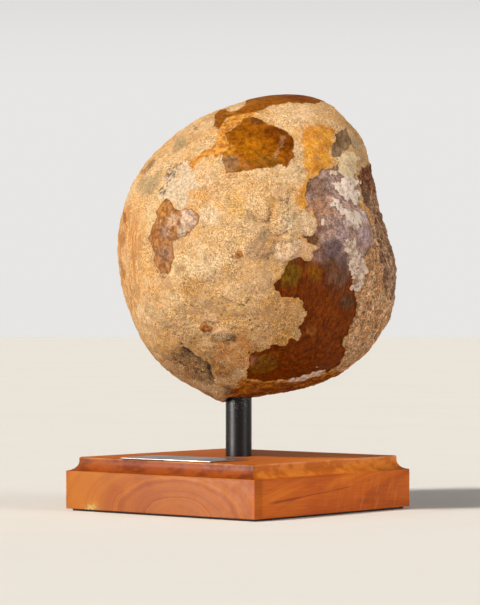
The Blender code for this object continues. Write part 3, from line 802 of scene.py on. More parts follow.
class BoneGraph(Graph):
    # The noises, grains, pits and masks that the layers of the bone's look share.

    def __init__(self):
        super().__init__("fossil_bone")
        self.depth = self.marks()
        self.tint = self.attribute("crust_tint").outputs["Vector"]
        self.bare = self.attribute("bare_tint").outputs["Vector"]
        self.fine = self.noise(1.5, 5.0, 0.75)
        self.medium = self.noise(3.0, 4.0, 0.65)
        self.broad = self.noise(9.0, 4.0, 0.6)
        self.dust = self.noise(1.0, 3.0, 0.6)
        self.speck = self.noise(0.8, 3.0, 0.7)
        self.vein = self.noise(2.2, 5.0, 0.65, self.stretched((1.0, 1.0, 0.3)))
        loose = self.warped(1.6, 0.9)
        uneven = self.around(self.speck, 1.3)
        grain, self.grain_luck = self.grains(1.3, loose)
        self.grain = self.add(grain, uneven)
        lump, self.lump_luck = self.grains(2.6, loose)
        self.lump = self.add(lump, self.both(uneven, 0.8))
        self.gap = self.both(self.fit(self.grain, 0.5, 0.84), self.fit(self.speck, 0.6, 0.44))
        self.pit = self.both(self.fit(self.lump, 0.3, 0.16), self.fit(self.lump_luck, 0.4, 0.55))
        self.fine_pit = self.both(self.fit(self.grain, 0.3, 0.16), self.fit(self.grain_luck, 0.5, 0.62))
        self.grit = self.fit(self.depth["grit"], 0.15, 0.85)
        self.wander = self.math("MULTIPLY_ADD", self.fine, 2.4)
        self.wander.node.inputs[2].default_value = -1.2
        self.lilac_side = self.fit(self.depth["purple"], -5.0, 7.0)
        self.in_plate = self.fit(self.depth["plate"], -0.3, 0.3)
        self.in_recess = self.inside("recess")
        self.in_gloss = self.inside("gloss")
        self.in_side = self.inside("side")
        self.in_flake = self.inside("flake")
        self.in_olive = self.inside("olive")
        self.in_chip = self.inside("chip")
        lacy = self.add(self.depth["white"], self.both(self.minus(self.medium, 0.52), 9.0))
        self.in_white = self.fit(lacy, -0.15, 0.15)

    def inside(self, name, soft=0.12):
        return self.fit(self.add(self.depth[name], self.wander), -soft, soft)


def crust_colour(g):
    # Crust: grains of the tint, darker gaps between them, dark pits and pale or golden blotches.
    crust = g.times(g.tint, g.fit(g.grain_luck, 0.0, 1.0, 0.8, 1.14))
    crust = g.mix(g.fit(g.medium, 0.5, 0.36, 0.0, 0.4), crust, g.mix(0.55, g.tint, (0.26, 0.12, 0.045)))
    crust = g.mix(g.fit(g.broad, 0.55, 0.68, 0.0, 0.5), crust, (0.92, 0.67, 0.4))
    crust = g.mix(g.fit(g.broad, 0.46, 0.34, 0.0, 0.5), crust, (0.5, 0.325, 0.17))
    crust = g.mix(g.fit(g.noise(6.0, 3.0, 0.5), 0.56, 0.68, 0.0, 0.45), crust, (0.78, 0.39, 0.07))
    crust = g.mix(g.fit(g.noise(7.5, 3.0, 0.6), 0.57, 0.7, 0.0, 0.5), crust, (0.7, 0.43, 0.27))
    crust = g.mix(g.both(g.in_plate, g.fit(g.medium, 0.4, 0.6, 0.05, 0.45)), crust, (0.92, 0.68, 0.43))
    rubbed = g.fit(g.noise(15.0, 5.0, 0.65), 0.42, 0.56)
    speckle = g.mix(g.fit(g.speck, 0.36, 0.64), (0.52, 0.42, 0.3), (1.15, 1.17, 1.2))
    speckle = g.mix(g.both(rubbed, 0.65), speckle, (0.86, 0.82, 0.77))
    crust = g.times(crust, speckle)
    gappy = g.both(g.blend(g.grit, 0.35, 0.8), g.fit(rubbed, 0.0, 1.0, 1.15, 0.4))
    crust = g.mix(g.both(g.gap, gappy), crust, (0.26, 0.13, 0.055))
    crust = g.mix(g.both(g.pit, g.blend(g.grit, 0.4, 0.75)), crust, (0.12, 0.06, 0.03))
    crust = g.mix(g.both(g.fine_pit, g.blend(g.grit, 0.3, 0.6)), crust, (0.17, 0.085, 0.04))
    crust = g.mix(g.fit(g.dust, 0.6, 0.72, 0.0, 0.65), crust, (0.96, 0.78, 0.56))
    cracked = g.fit(g.add(g.depth["crack"], g.wander), -0.6, 0.4)
    return g.mix(g.both(cracked, g.fit(g.fine, 0.42, 0.56, 0.0, 0.8)), crust, (0.19, 0.095, 0.045))


def add_streaks(g, colour):
    # Reddish streaks far left, the pale flaky place, sooty and grey places.
    streak = g.noise(2.6, 4.0, 0.6, g.stretched((1.0, 1.0, 0.16)))
    streak = g.both(g.inside("streaked", 3.0), g.fit(streak, 0.44, 0.6, 0.0, 0.85))
    colour = g.mix(streak, colour, (0.52, 0.2, 0.045))
    flaked = g.both(g.inside("chalky", 0.25), g.fit(g.noise(6.0, 4.0, 0.7), 0.36, 0.44, 0.25, 0.88))
    colour = g.mix(flaked, colour, g.mix(g.fit(g.fine, 0.4, 0.6), (0.46, 0.33, 0.2), (0.8, 0.64, 0.47)))
    grey = g.mix(g.fit(g.fine, 0.38, 0.58), (0.23, 0.15, 0.065), (0.52, 0.375, 0.205))
    grey = g.mix(g.both(g.gap, 0.5), grey, (0.2, 0.12, 0.06))
    colour = g.mix(g.both(g.inside("grey", 2.0), 0.75), colour, grey)
    network = g.fit(g.noise(2.2, 4.0, 0.75), 0.53, 0.46)
    return g.mix(g.both(g.inside("soot", 1.2), network), colour, (0.17, 0.115, 0.08))


def add_stains(g, colour):
    # Orange and amber stains.
    stain = g.mix(g.fit(g.broad, 0.4, 0.6), (0.62, 0.225, 0.018), (0.84, 0.375, 0.034))
    stain = g.times(stain, g.fit(g.grain_luck, 0.0, 1.0, 0.7, 1.12))
    stain = g.mix(g.both(g.gap, 0.6), stain, (0.4, 0.14, 0.02))
    stain = g.mix(g.both(g.fine_pit, 0.7), stain, (0.2, 0.08, 0.02))
    in_ochre = g.fit(g.add(g.depth["ochre"], g.wander), -1.6, 2.2)
    colour = g.mix(g.both(in_ochre, g.fit(g.medium, 0.34, 0.5, 0.5, 0.95)), colour, stain)
    amber = g.mix(g.fit(g.medium, 0.4, 0.6), (0.38, 0.115, 0.006), (0.76, 0.34, 0.05))
    return g.mix(g.both(g.inside("amber", 0.6), 0.92), colour, amber)


def add_open_bone(g, colour):
    # Coarse bone low on the right, and open bone on the broken side.
    sandy = g.mix(g.fit(g.broad, 0.4, 0.62), (0.76, 0.39, 0.17), (1.0, 0.62, 0.35))
    sandy = g.times(sandy, g.fit(g.lump_luck, 0.0, 1.0, 0.7, 1.15))
    sandy = g.times(sandy, g.fit(g.speck, 0.36, 0.64, 0.6, 1.35))
    sandy = g.mix(g.both(g.fit(g.grain, 0.46, 0.74), 0.75), sandy, (0.17, 0.075, 0.035))
    sandy = g.mix(g.fit(g.medium, 0.44, 0.34, 0.0, 0.8), sandy, (0.11, 0.05, 0.032))
    colour = g.mix(g.fit(g.depth["coarse"], -1.0, 2.0, 0.0, 0.94), colour, sandy)
    open_colour = g.mix(g.fit(g.broad, 0.4, 0.6), (0.36, 0.175, 0.1), (0.74, 0.44, 0.26))
    open_colour = g.mix(g.fit(g.medium, 0.46, 0.36, 0.0, 0.7), open_colour, (0.105, 0.05, 0.036))
    open_colour = g.times(open_colour, g.fit(g.speck, 0.36, 0.64, 0.6, 1.45))
    open_colour = g.mix(g.both(g.fit(g.grain, 0.44, 0.74), 0.65), open_colour, (0.06, 0.028, 0.018))
    # Darker in the dip: painted shade
    open_colour = g.mix(g.fit(g.depth["dip"], -1.5, 4.0, 0.0, 0.5), open_colour, (0.12, 0.07, 0.04))
    dark_open = g.times(open_colour, (0.66, 0.48, 0.42))
    open_colour = g.mix(g.fit(g.depth["upper"], -8.0, 4.0), open_colour, dark_open)
    colour = g.mix(g.inside("open", 0.5), colour, open_colour)
    colour = g.mix(g.both(g.depth["pits"], 0.85), colour, (0.065, 0.03, 0.016))
    # The underside: its own dark brown, darkened further as painted shade
    shaded_underside = g.mix(g.fit(g.broad, 0.42, 0.62), (0.28, 0.07, 0.001), (0.55, 0.195, 0.01))
    shaded_underside = g.times(shaded_underside, g.fit(g.grain_luck, 0.0, 1.0, 0.55, 1.35))
    shaded_underside = g.mix(g.both(g.gap, 0.6), shaded_underside, (0.055, 0.018, 0.004))
    colour = g.mix(g.inside("shaded_underside", 1.5), colour, shaded_underside)
    ridge = g.mix(g.fit(g.fine, 0.36, 0.6), (0.46, 0.175, 0.045), (0.84, 0.43, 0.15))
    return g.mix(g.both(g.inside("ridge", 0.4), 0.9), colour, ridge)


def add_hollow(g, colour):
    # The eroded hollow, with painted shade darkening it below the crease and a painted shadow line in the
    # crease.
    worn = g.mix(g.fit(g.broad, 0.42, 0.6), (0.36, 0.2, 0.088), (0.54, 0.29, 0.11))
    worn = g.times(worn, g.fit(g.speck, 0.38, 0.62, 0.25, 1.6))
    worn = g.mix(g.fit(g.medium, 0.5, 0.4, 0.0, 0.9), worn, (0.055, 0.031, 0.018))
    colour = g.mix(g.both(g.inside("eroded", 4.0), g.fit(g.fine, 0.38, 0.5, 0.2, 0.95)), colour, worn)
    shadow = g.both(g.fit(g.depth["crease"], -7.5, -0.5, 0.0, 0.9), g.fit(g.speck, 0.42, 0.58, 1.0, 0.3))
    shadow = g.both(shadow, g.fit(g.depth["eroded"], -2.5, 0.5))
    colour = g.mix(shadow, colour, (0.075, 0.04, 0.022))
    # Painted shadow: a dark line in the crease
    crease_shadow = g.fit(g.add(g.depth["crease"], g.wander), -1.2, 0.8)
    return g.mix(g.both(crease_shadow, 0.9), colour, (0.035, 0.018, 0.011))


def add_smooth_bone(g, colour):
    # Bare smooth bone: brown, purple above it, golden brown on top.
    bare_level = g.node("ShaderNodeSeparateColor", {0: g.bare}).outputs[1]
    smooth_bone = g.times(g.bare, g.fit(g.vein, 0.36, 0.64, 0.6, 1.4))
    smooth_bone = g.times(smooth_bone, g.fit(g.grain_luck, 0.0, 1.0, 0.8, 1.2))
    golden = g.mix(0.6, g.bare, (0.3, 0.13, 0.01))
    dusty = g.mix(0.5, g.bare, (0.8, 0.42, 0.14))
    smooth_bone = g.mix(g.fit(g.medium, 0.56, 0.7, 0.0, 0.35), smooth_bone, golden)
    smooth_bone = g.mix(g.fit(g.dust, 0.68, 0.76, 0.0, 0.55), smooth_bone, dusty)
    grainy = g.times(g.bare, g.fit(g.speck, 0.38, 0.62, 0.58, 1.44))
    grainy = g.times(grainy, g.fit(g.noise(4.0, 5.0, 0.7), 0.38, 0.62, 0.62, 1.34))
    grainy = g.mix(g.both(g.fit(g.grain, 0.5, 0.8), 0.45), grainy, (0.1, 0.055, 0.048))
    light = g.fit(bare_level, 0.22, 0.36, 0.08, 0.6)
    grainy = g.mix(g.both(g.fit(g.fine, 0.54, 0.64), light), grainy, (0.62, 0.48, 0.44))
    smooth_bone = g.mix(g.lilac_side, smooth_bone, grainy)
    gold_bone = g.times(g.bare, g.fit(g.medium, 0.34, 0.66, 0.4, 0.94))
    gold_bone = g.times(gold_bone, g.fit(g.speck, 0.36, 0.64, 0.82, 1.18))
    gold_bone = g.mix(g.fit(g.dust, 0.6, 0.74, 0.0, 0.4), gold_bone, (0.66, 0.28, 0.02))
    gold_bone = g.mix(g.fit(g.fine, 0.44, 0.34, 0.0, 0.5), gold_bone, (0.13, 0.034, 0.001))
    # Painted shadow: a dark line just inside the brown patch's edge, where the crust above shades it
    painted_lip_shading = g.fit(g.depth["recess"], 0.9, 0.1)
    smooth_bone = g.mix(g.both(painted_lip_shading, 0.45), smooth_bone, (0.085, 0.02, 0.002))
    glow = g.both(g.fit(g.depth["recess"], -2.2, -0.3), g.fit(g.medium, 0.4, 0.6, 0.15, 0.75))
    glow = g.both(glow, g.fit(g.most(g.depth["open"], g.depth["coarse"]), -1.0, -5.0))
    colour = g.mix(glow, colour, (0.8, 0.36, 0.05))
    colour = g.mix(g.in_recess, colour, smooth_bone)
    # Painted shade: a dark band just outside the raised golden patch, where it shades the crust below its
    # edge
    gloss_edge_shade = g.both(g.fit(g.depth["gloss"], -0.7, -0.2), g.fit(g.medium, 0.44, 0.56, 0.0, 0.75))
    colour = g.mix(gloss_edge_shade, colour, (0.15, 0.065, 0.03))
    colour = g.mix(g.in_gloss, colour, gold_bone)
    scratched = g.both(g.inside("scratch", 1.1), g.fit(g.fine, 0.36, 0.6, 0.15, 0.45))
    colour = g.mix(scratched, colour, (0.46, 0.28, 0.14))
    crest = g.both(g.fit(g.depth["crest"], 3.0, 1.4), g.fit(g.medium, 0.4, 0.55, 0.3, 0.85))
    colour = g.mix(crest, colour, (0.42, 0.18, 0.05))
    return g.mix(g.fit(g.depth["crest"], 1.2, 0.5, 0.0, 0.85), colour, (0.88, 0.7, 0.5))


def add_side_bone(g, colour):
    # The smooth patch on the left side.
    side_bone = g.times(g.bare, g.fit(g.medium, 0.36, 0.64, 0.4, 0.96))
    side_bone = g.times(side_bone, g.fit(g.grain_luck, 0.0, 1.0, 0.8, 1.2))
    side_bone = g.mix(g.fit(g.dust, 0.62, 0.72, 0.0, 0.6), side_bone, (0.86, 0.64, 0.46))
    # Painted shade: a dark band just inside the side patch's edge, along its raised wall
    side_edge_shade = g.both(g.fit(g.depth["side"], 1.1, 0.1), g.fit(g.medium, 0.4, 0.52, 0.0, 0.75))
    side_bone = g.mix(side_edge_shade, side_bone, (0.17, 0.065, 0.02))
    return g.mix(g.in_side, colour, side_bone)


def add_pale_crusts(g, colour):
    # Pale crusts over the bone, and flakes, with painted shadows beside the pale crusts and under the flakes
    # and plates.
    high = g.fit(g.depth["upper"], -2.0, 4.0)
    chalk = g.mix(high, (0.82, 0.67, 0.57), (0.7, 0.535, 0.32))
    low = g.fit(g.depth["upper"], -31.0, -36.0)
    chalk = g.mix(low, chalk, g.mix(g.fit(g.medium, 0.38, 0.6), (0.5, 0.35, 0.265), (0.78, 0.61, 0.49)))
    chalk = g.mix(g.fit(g.medium, 0.54, 0.38, 0.0, 0.75), chalk, g.mix(0.6, chalk, (0.3, 0.2, 0.14)))
    chalk = g.mix(g.both(g.pit, 0.8), chalk, (0.16, 0.1, 0.07))
    chalk = g.mix(g.both(g.fine_pit, 0.6), chalk, (0.24, 0.16, 0.11))
    # Painted shadow: a dark line in the brown patch beside the pale crusts, where they shade it
    broken_rim = g.both(g.in_recess, g.fit(g.medium, 0.4, 0.56, 0.0, 0.3))
    chalk_edge_shadow = g.both(g.fit(g.depth["white"], -0.9, -0.2), broken_rim)
    colour = g.mix(chalk_edge_shadow, colour, (0.12, 0.06, 0.04))
    colour = g.mix(g.both(g.in_white, g.fit(g.fine, 0.3, 0.42, 0.45, 1.0)), colour, chalk)
    flake = g.mix(g.fit(g.medium, 0.4, 0.6), (0.56, 0.35, 0.19), (0.74, 0.54, 0.36))
    tongue = g.fit(g.depth["upper"], -42.0, -44.0)
    flake = g.mix(g.both(tongue, g.fit(g.depth["plate"], 1.0, -3.0, 0.0, 0.7)), flake, (0.7, 0.39, 0.195))
    low_flake = g.mix(g.fit(g.speck, 0.4, 0.6), (0.27, 0.175, 0.088), (0.5, 0.36, 0.205))
    flake = g.mix(g.fit(g.depth["upper"], -100.0, -104.0), flake, low_flake)
    flake = g.mix(g.fit(g.fine, 0.46, 0.34, 0.0, 0.6), flake, (0.38, 0.2, 0.1))
    flake = g.times(flake, g.fit(g.speck, 0.36, 0.64, 0.66, 1.24))
    flake = g.mix(g.both(g.fine_pit, 0.7), flake, (0.26, 0.15, 0.08))
    colour = g.mix(g.both(g.in_flake, 0.84), colour, flake)
    # Painted shadow below and to the right of each flake and plate
    painted_flake_shadow = g.fit(g.add(g.depth["painted_flake_shadow"], g.wander), -0.5, 0.5)
    raised = g.most(g.in_flake, g.most(g.in_plate, g.in_recess))
    painted_flake_shadow = g.both(g.minus(painted_flake_shadow, raised, clamp=True), g.fit(g.fine, 0.42, 0.56, 0.0, 0.75))
    return g.mix(painted_flake_shadow, colour, (0.2, 0.105, 0.05))


def add_olive_and_chips(g, colour):
    # The olive patch and the small chips.
    olive = g.mix(g.fit(g.broad, 0.4, 0.6), (0.125, 0.066, 0.027), (0.235, 0.15, 0.085))
    olive = g.times(olive, g.fit(g.medium, 0.36, 0.62, 0.75, 1.25))
    colour = g.mix(g.in_olive, colour, g.mix(g.fit(g.dust, 0.62, 0.74, 0.0, 0.5), olive, (0.5, 0.36, 0.22)))
    chip = g.mix(g.fit(g.fine, 0.38, 0.62), (0.13, 0.045, 0.012), (0.44, 0.17, 0.042))
    return g.mix(g.in_chip, colour, chip)


def bone_material():
    g = BoneGraph()
    colour = crust_colour(g)
    layers = (
        add_streaks, add_stains, add_open_bone, add_hollow, add_smooth_bone, add_side_bone,
        add_pale_crusts, add_olive_and_chips,
    )
    for add_layer in layers:
        colour = add_layer(g, colour)

    # Bare bone, the olive patch and the chips are smooth, and all but the lilac bone shines a little
    smooth = g.most(g.most(g.in_recess, g.in_gloss), g.most(g.in_olive, g.in_chip))
    smooth = g.most(smooth, g.both(g.in_side, 0.7))
    smooth = g.minus(smooth, g.most(g.in_white, g.in_flake), clamp=True)
    shine = g.minus(smooth, g.both(g.both(g.in_recess, g.lilac_side), 0.6), clamp=True)
    roughness = g.blend(shine, g.fit(g.medium, 0.3, 0.7, 0.78, 0.92), g.fit(g.vein, 0.3, 0.7, 0.34, 0.52))
    bumps = g.add(g.both(g.grain, -0.15), g.both(g.lump, -0.35))
    bumps = g.add(bumps, g.add(g.both(g.fine, 1.1), g.both(g.speck, 0.9)))
    granular = g.both(g.blend(smooth, 1.0, 0.1), g.blend(g.grit, 0.55, 1.15))
    granular = g.minus(granular, g.both(g.most(g.in_white, g.in_flake), 0.5), clamp=True)
    g.set("Base Color", colour)
    g.set("Roughness", roughness)
    g.set("Specular IOR Level", g.blend(shine, 0.1, 0.05))
    g.set("Normal", g.bump(g.both(bumps, granular), 2.0, 1.0))
    return g.material


def wood_material():
    # Reddish wood with the fibres along Y and flat oval rings round a pith low on the front face.
    g = Graph("base_wood")
    warp = g.noise(60.0, 2.0, 0.5, g.stretched((1.0, 0.35, 1.0)))
    small_warp = g.noise(9.0, 3.0, 0.5, g.stretched((1.0, 0.12, 1.0)))
    x, y, z = g.node("ShaderNodeSeparateXYZ", {0: g.place}).outputs
    back = g.add(y, 0.075)
    rise = g.both(back, 0.088)
    dx = g.minus(g.minus(x, 0.016), g.both(back, 0.12))
    dz = g.both(g.minus(z, rise), 2.1)
    ring = g.math("SQRT", g.add(g.both(dx, dx), g.both(dz, dz)))
    ring = g.add(ring, g.around(warp, 0.012))
    ring = g.add(ring, g.around(small_warp, 0.0035))
    along_ring = g.node("ShaderNodeCombineXYZ", {0: ring, 1: g.both(y, 0.05)}).outputs[0]
    bands = g.noise(5.5, 3.0, 0.6, along_ring)
    fibre = g.noise(0.55, 4.0, 0.7, g.stretched((1.0, 0.03, 1.0)))
    saw = g.noise(0.7, 3.0, 0.6, g.stretched((1.0, 1.0, 0.08)))
    pores = g.cells(0.9, g.stretched((1.0, 0.06, 1.0)))["Distance"]
    cloud = g.noise(30.0, 3.0, 0.55, g.stretched((1.0, 0.4, 1.0)))
    colour = g.mix(g.fit(cloud, 0.38, 0.62), (0.33, 0.062, 0.005), (0.42, 0.102, 0.009))
    colour = g.mix(g.fit(x, -0.03, -0.056, 0.0, 0.6), colour, (0.56, 0.175, 0.008))
    colour = g.mix(g.fit(bands, 0.52, 0.66, 0.0, 0.38), colour, (0.3, 0.06, 0.01))
    colour = g.mix(g.fit(bands, 0.46, 0.36, 0.0, 0.3), colour, (0.66, 0.23, 0.024))
    for at, width, strength in ((0.027, 0.0012, 0.6), (0.0345, 0.0016, 0.4), (0.046, 0.0022, 0.3)):
        near = g.math("ABSOLUTE", g.minus(ring, at))
        colour = g.mix(g.fit(near, width, 0.3 * width, 0.0, strength), colour, (0.19, 0.032, 0.006))
    heart = g.fit(ring, 0.028, 0.025, 0.0, 0.55)
    colour = g.mix(heart, colour, (0.4, 0.105, 0.026))
    between_arcs = g.both(g.fit(ring, 0.028, 0.033), g.fit(ring, 0.047, 0.041))
    colour = g.mix(g.both(between_arcs, 0.4), colour, (0.4, 0.105, 0.026))

    # On the right face: one dark reddish streak, and steep ripples in the figure
    on_right = g.fit(x, 0.07, 0.0735)
    level = g.minus(g.minus(z, 0.0103), g.both(g.add(y, 0.059), 0.088))
    level = g.add(level, g.around(small_warp, 0.003))
    level = g.math("ABSOLUTE", level)
    reach = g.both(g.fit(y, -0.064, -0.054), g.fit(y, 0.03, 0.005))
    thick = g.fit(y, -0.028, -0.045, 0.0003, 0.0008)
    streak = g.fit(g.math("DIVIDE", level, thick), 1.3, 0.5, 0.0, 0.75)
    colour = g.mix(g.both(g.both(streak, reach), on_right), colour, (0.15, 0.018, 0.01))
    slant = g.minus(g.both(y, 0.92), g.both(z, 0.4))
    slant = g.node("ShaderNodeCombineXYZ", {0: slant, 1: g.both(z, 0.12)}).outputs[0]
    ripple = g.noise(3.4, 3.0, 0.55, slant)
    figure = g.both(g.both(on_right, g.fit(y, -0.03, 0.025)), g.fit(z, 0.024, 0.018))
    colour = g.mix(g.both(figure, g.fit(ripple, 0.48, 0.64, 0.0, 0.35)), colour, (0.3, 0.07, 0.01))
    colour = g.mix(g.both(figure, g.fit(ripple, 0.46, 0.34, 0.0, 0.28)), colour, (0.62, 0.22, 0.045))

    colour = g.mix(g.fit(fibre, 0.42, 0.66, 0.0, 0.25), colour, (0.62, 0.2, 0.03))
    colour = g.mix(g.fit(saw, 0.55, 0.7, 0.0, 0.16), colour, (0.2, 0.05, 0.02))
    colour = g.mix(g.fit(pores, 0.22, 0.08, 0.0, 0.3), colour, (0.22, 0.06, 0.02))
    edge = g.parts("cove_top_and_nick")
    blotch = g.noise(11.0, 3.0, 0.6, g.stretched((1.0, 1.0, 1.8)))
    cove = g.mix(g.fit(blotch, 0.4, 0.6), (0.16, 0.02, 0.006), (0.34, 0.062, 0.015))
    colour = g.mix(g.fit(edge[0], 0.0, 1.0, 0.0, 0.8), colour, cove)
    right_cove = g.mix(g.fit(blotch, 0.4, 0.6), (0.46, 0.115, 0.01), (0.7, 0.235, 0.03))
    colour = g.mix(g.fit(edge[0], 0.0, -1.0, 0.0, 0.6), colour, right_cove)
    # Painted light: the top face grows lighter towards the back and right, to make up for the bone's shadow
    # falling there
    away = g.add(g.both(x, 0.77), g.both(y, 0.64))
    top = g.mix(g.fit(away, -0.01, 0.06), (0.4, 0.092, 0.004), (0.72, 0.215, 0.01))
    colour = g.mix(g.both(edge[1], 0.65), colour, top)
    # Painted highlight: a pale pinkish line along the cove's upper lip, where its rounded edge catches the
    # light
    painted_lip_shading = g.both(g.fit(z, 0.0315, 0.0321), g.fit(edge[1], 0.9, 0.2))
    colour = g.mix(g.both(painted_lip_shading, g.fit(blotch, 0.36, 0.6, 0.25, 0.8)), colour, (0.6, 0.235, 0.125))
    scar = g.both(edge[2], g.fit(g.noise(2.2, 3.0), 0.4, 0.6, 0.2, 0.9))
    colour = g.mix(scar, colour, (0.66, 0.54, 0.38))
    on_front = g.fit(y, -0.0665, -0.069)
    colour = g.mix(on_front, colour, g.times(colour, (0.78, 0.78, 0.36)))
    on_side = g.both(on_right, g.fit(z, 0.025, 0.024))
    colour = g.mix(on_side, colour, g.times(colour, (1.06, 0.92, 0.6)))
    g.set("Base Color", colour)
    worn = g.fit(g.noise(5.0, 4.0, 0.6), 0.3, 0.7, 0.36, 0.54)
    g.set("Roughness", g.blend(edge[1], worn, 0.62))
    g.set("Specular IOR Level", 0.13)
    height = g.add(g.both(fibre, 0.5), g.both(g.fit(pores, 0.2, 0.05), -0.8))
    g.set("Normal", g.bump(height, 0.05, 0.5))
    return g.material


def post_material():
    g = Graph("post_black")
    speck = g.noise(0.6, 3.0, 0.6)
    dust = g.noise(7.0, 4.0, 0.65)
    level = g.node("ShaderNodeSeparateXYZ", {0: g.place}).outputs[2]
    # Pale dust specks, denser near the top as painted glints of the glue there
    speck = g.add(speck, g.fit(level, 0.056, 0.066, 0.0, 0.07))
    colour = g.mix(g.fit(dust, 0.45, 0.75), (0.003, 0.0022, 0.0032), (0.007, 0.006, 0.007))
    colour = g.mix(g.fit(speck, 0.69, 0.72, 0.0, 0.8), colour, (0.5, 0.48, 0.46))
    g.set("Base Color", colour)
    g.set("Roughness", g.fit(dust, 0.3, 0.7, 0.38, 0.44))
    g.set("Specular IOR Level", 0.22)
    g.set("Normal", g.bump(g.noise(0.35, 3.0, 0.6), 0.02, 0.35))
    return g.material


def plate_material():
    g = Graph("plate_silver")
    brush = g.noise(0.25, 4.0, 0.6, g.stretched((0.03, 1.0, 1.0)))
    cloud = g.noise(24.0, 3.0, 0.5)
    colour = g.mix(g.fit(cloud, 0.35, 0.65), (0.26, 0.225, 0.228), (0.46, 0.4, 0.394))
    g.set("Base Color", colour)
    g.set("Metallic", 0.85)
    g.set("Roughness", g.fit(brush, 0.3, 0.7, 0.24, 0.42))
    g.set("Normal", g.bump(brush, 0.02, 0.4))
    return g.material


def felt_material():
    g = Graph("pad_felt")
    fuzz = g.noise(0.5, 5.0, 0.75)
    g.set("Base Color", g.mix(g.fit(fuzz, 0.3, 0.7), (0.01, 0.009, 0.008), (0.035, 0.031, 0.028)))
    g.set("Roughness", 0.97)
    g.set("Normal", g.bump(fuzz, 0.3, 0.8))
    return g.material


def floor_material():
    g = Graph("stage_floor")
    cloud = g.noise(180.0, 3.0, 0.5)
    g.set("Base Color", g.mix(cloud, (0.76, 0.75, 0.73), (0.8, 0.79, 0.77)))
    g.set("Roughness", g.fit(g.noise(4.0, 3.0), 0.3, 0.7, 0.75, 0.85))
    g.set("Specular IOR Level", 0.0)
    return g.material


# The stand: its mouldings, its wear and the number of points round it, in millimetres

COVE_WIDTH = 5.7
COVE_LOW = 8.3
COVE_HIGH = 2.4
COVE_STEPS = 14
TOP_ROUND = 0.9
CORNER_ROUND = 0.45
SIDE_STEPS = 60
HOLE_CHAMFER = 0.25
POST_SIDES = 96
NICK_AT = -54.0
NICK_DEPTH = 0.55
DENT_DEPTH = 0.28
WAVE_DEPTH = 0.05


def ring_of(profile, half_x, half_y, corner, segments):
    # One closed ring of a rounded rectangle, with its points spread along the sides too.
    inset, z = profile
    points = []
    hx = half_x - inset - corner
    hy = half_y - inset - corner
    for k, (sx, sy) in enumerate(((1, 1), (-1, 1), (-1, -1), (1, -1))):
        for i in range(5):
            t = math.radians(90.0 * k + 22.5 * i)
            points.append((sx * hx + corner * math.cos(t), sy * hy + corner * math.sin(t)))
        nx, ny = ((-1, 1), (-1, -1), (1, -1), (1, 1))[k]
        a = points[-1]
        t = math.radians(90.0 * (k + 1))
        b = (nx * hx + corner * math.cos(t), ny * hy + corner * math.sin(t))
        for i in range(1, segments):
            f = i / segments
            points.append((a[0] + f * (b[0] - a[0]), a[1] + f * (b[1] - a[1])))
    return [(x, y, z) for x, y in points]


def circle(radius, z, sides):
    angles = [2 * math.pi * i / sides for i in range(sides)]
    return [mm(radius * math.cos(t), radius * math.sin(t), z) for t in angles]


def bands(rings, count, start=0):
    # The quads between rings of points that follow one another.
    faces = []
    for k in range(rings - 1):
        for i in range(count):
            j = (i + 1) % count
            low = start + k * count
            faces.append((low + i, low + j, low + count + j, low + count + i))
    return faces


def loop_edges(bm, start, count):
    return [bm.edges.get((bm.verts[start + i], bm.verts[start + (i + 1) % count])) for i in range(count)]


def base_profile(bottom, top):
    # Inset and height of each ring of the block, from its underside up its side and cove to its top.
    cove_low = top - COVE_LOW
    cove_high = top - COVE_HIGH
    profile = [(1.0, bottom), (0.3, bottom), (0.0, bottom + 0.35)]
    profile += [(0.0, bottom + 0.35 + (cove_low - bottom - 0.7) * i / 10) for i in range(1, 11)]
    profile += [(0.12, cove_low - 0.1), (0.35, cove_low)]
    for i in range(1, COVE_STEPS + 1):
        t = 0.5 * math.pi * (1.0 - i / COVE_STEPS)
        inset = max(0.35, COVE_WIDTH * math.cos(t))
        profile.append((inset, cove_high - (cove_high - cove_low) * math.sin(t)))
    profile.append((COVE_WIDTH, top - TOP_ROUND - 0.7))
    for i in range(8):
        t = 0.5 * math.pi * i / 7
        inset = COVE_WIDTH + TOP_ROUND * (1.0 - math.cos(t))
        profile.append((inset, top - TOP_ROUND + TOP_ROUND * math.sin(t)))
    return profile


def nick(at, bottom, half, width, height):
    # The pale nick in the lower edge, at the left of the front face.
    spread = ((at[:, 0] - NICK_AT) / width) ** 2 + ((at[:, 2] - bottom) / height) ** 2
    return np.exp(-spread) * (at[:, 1] < -half + 3.0)


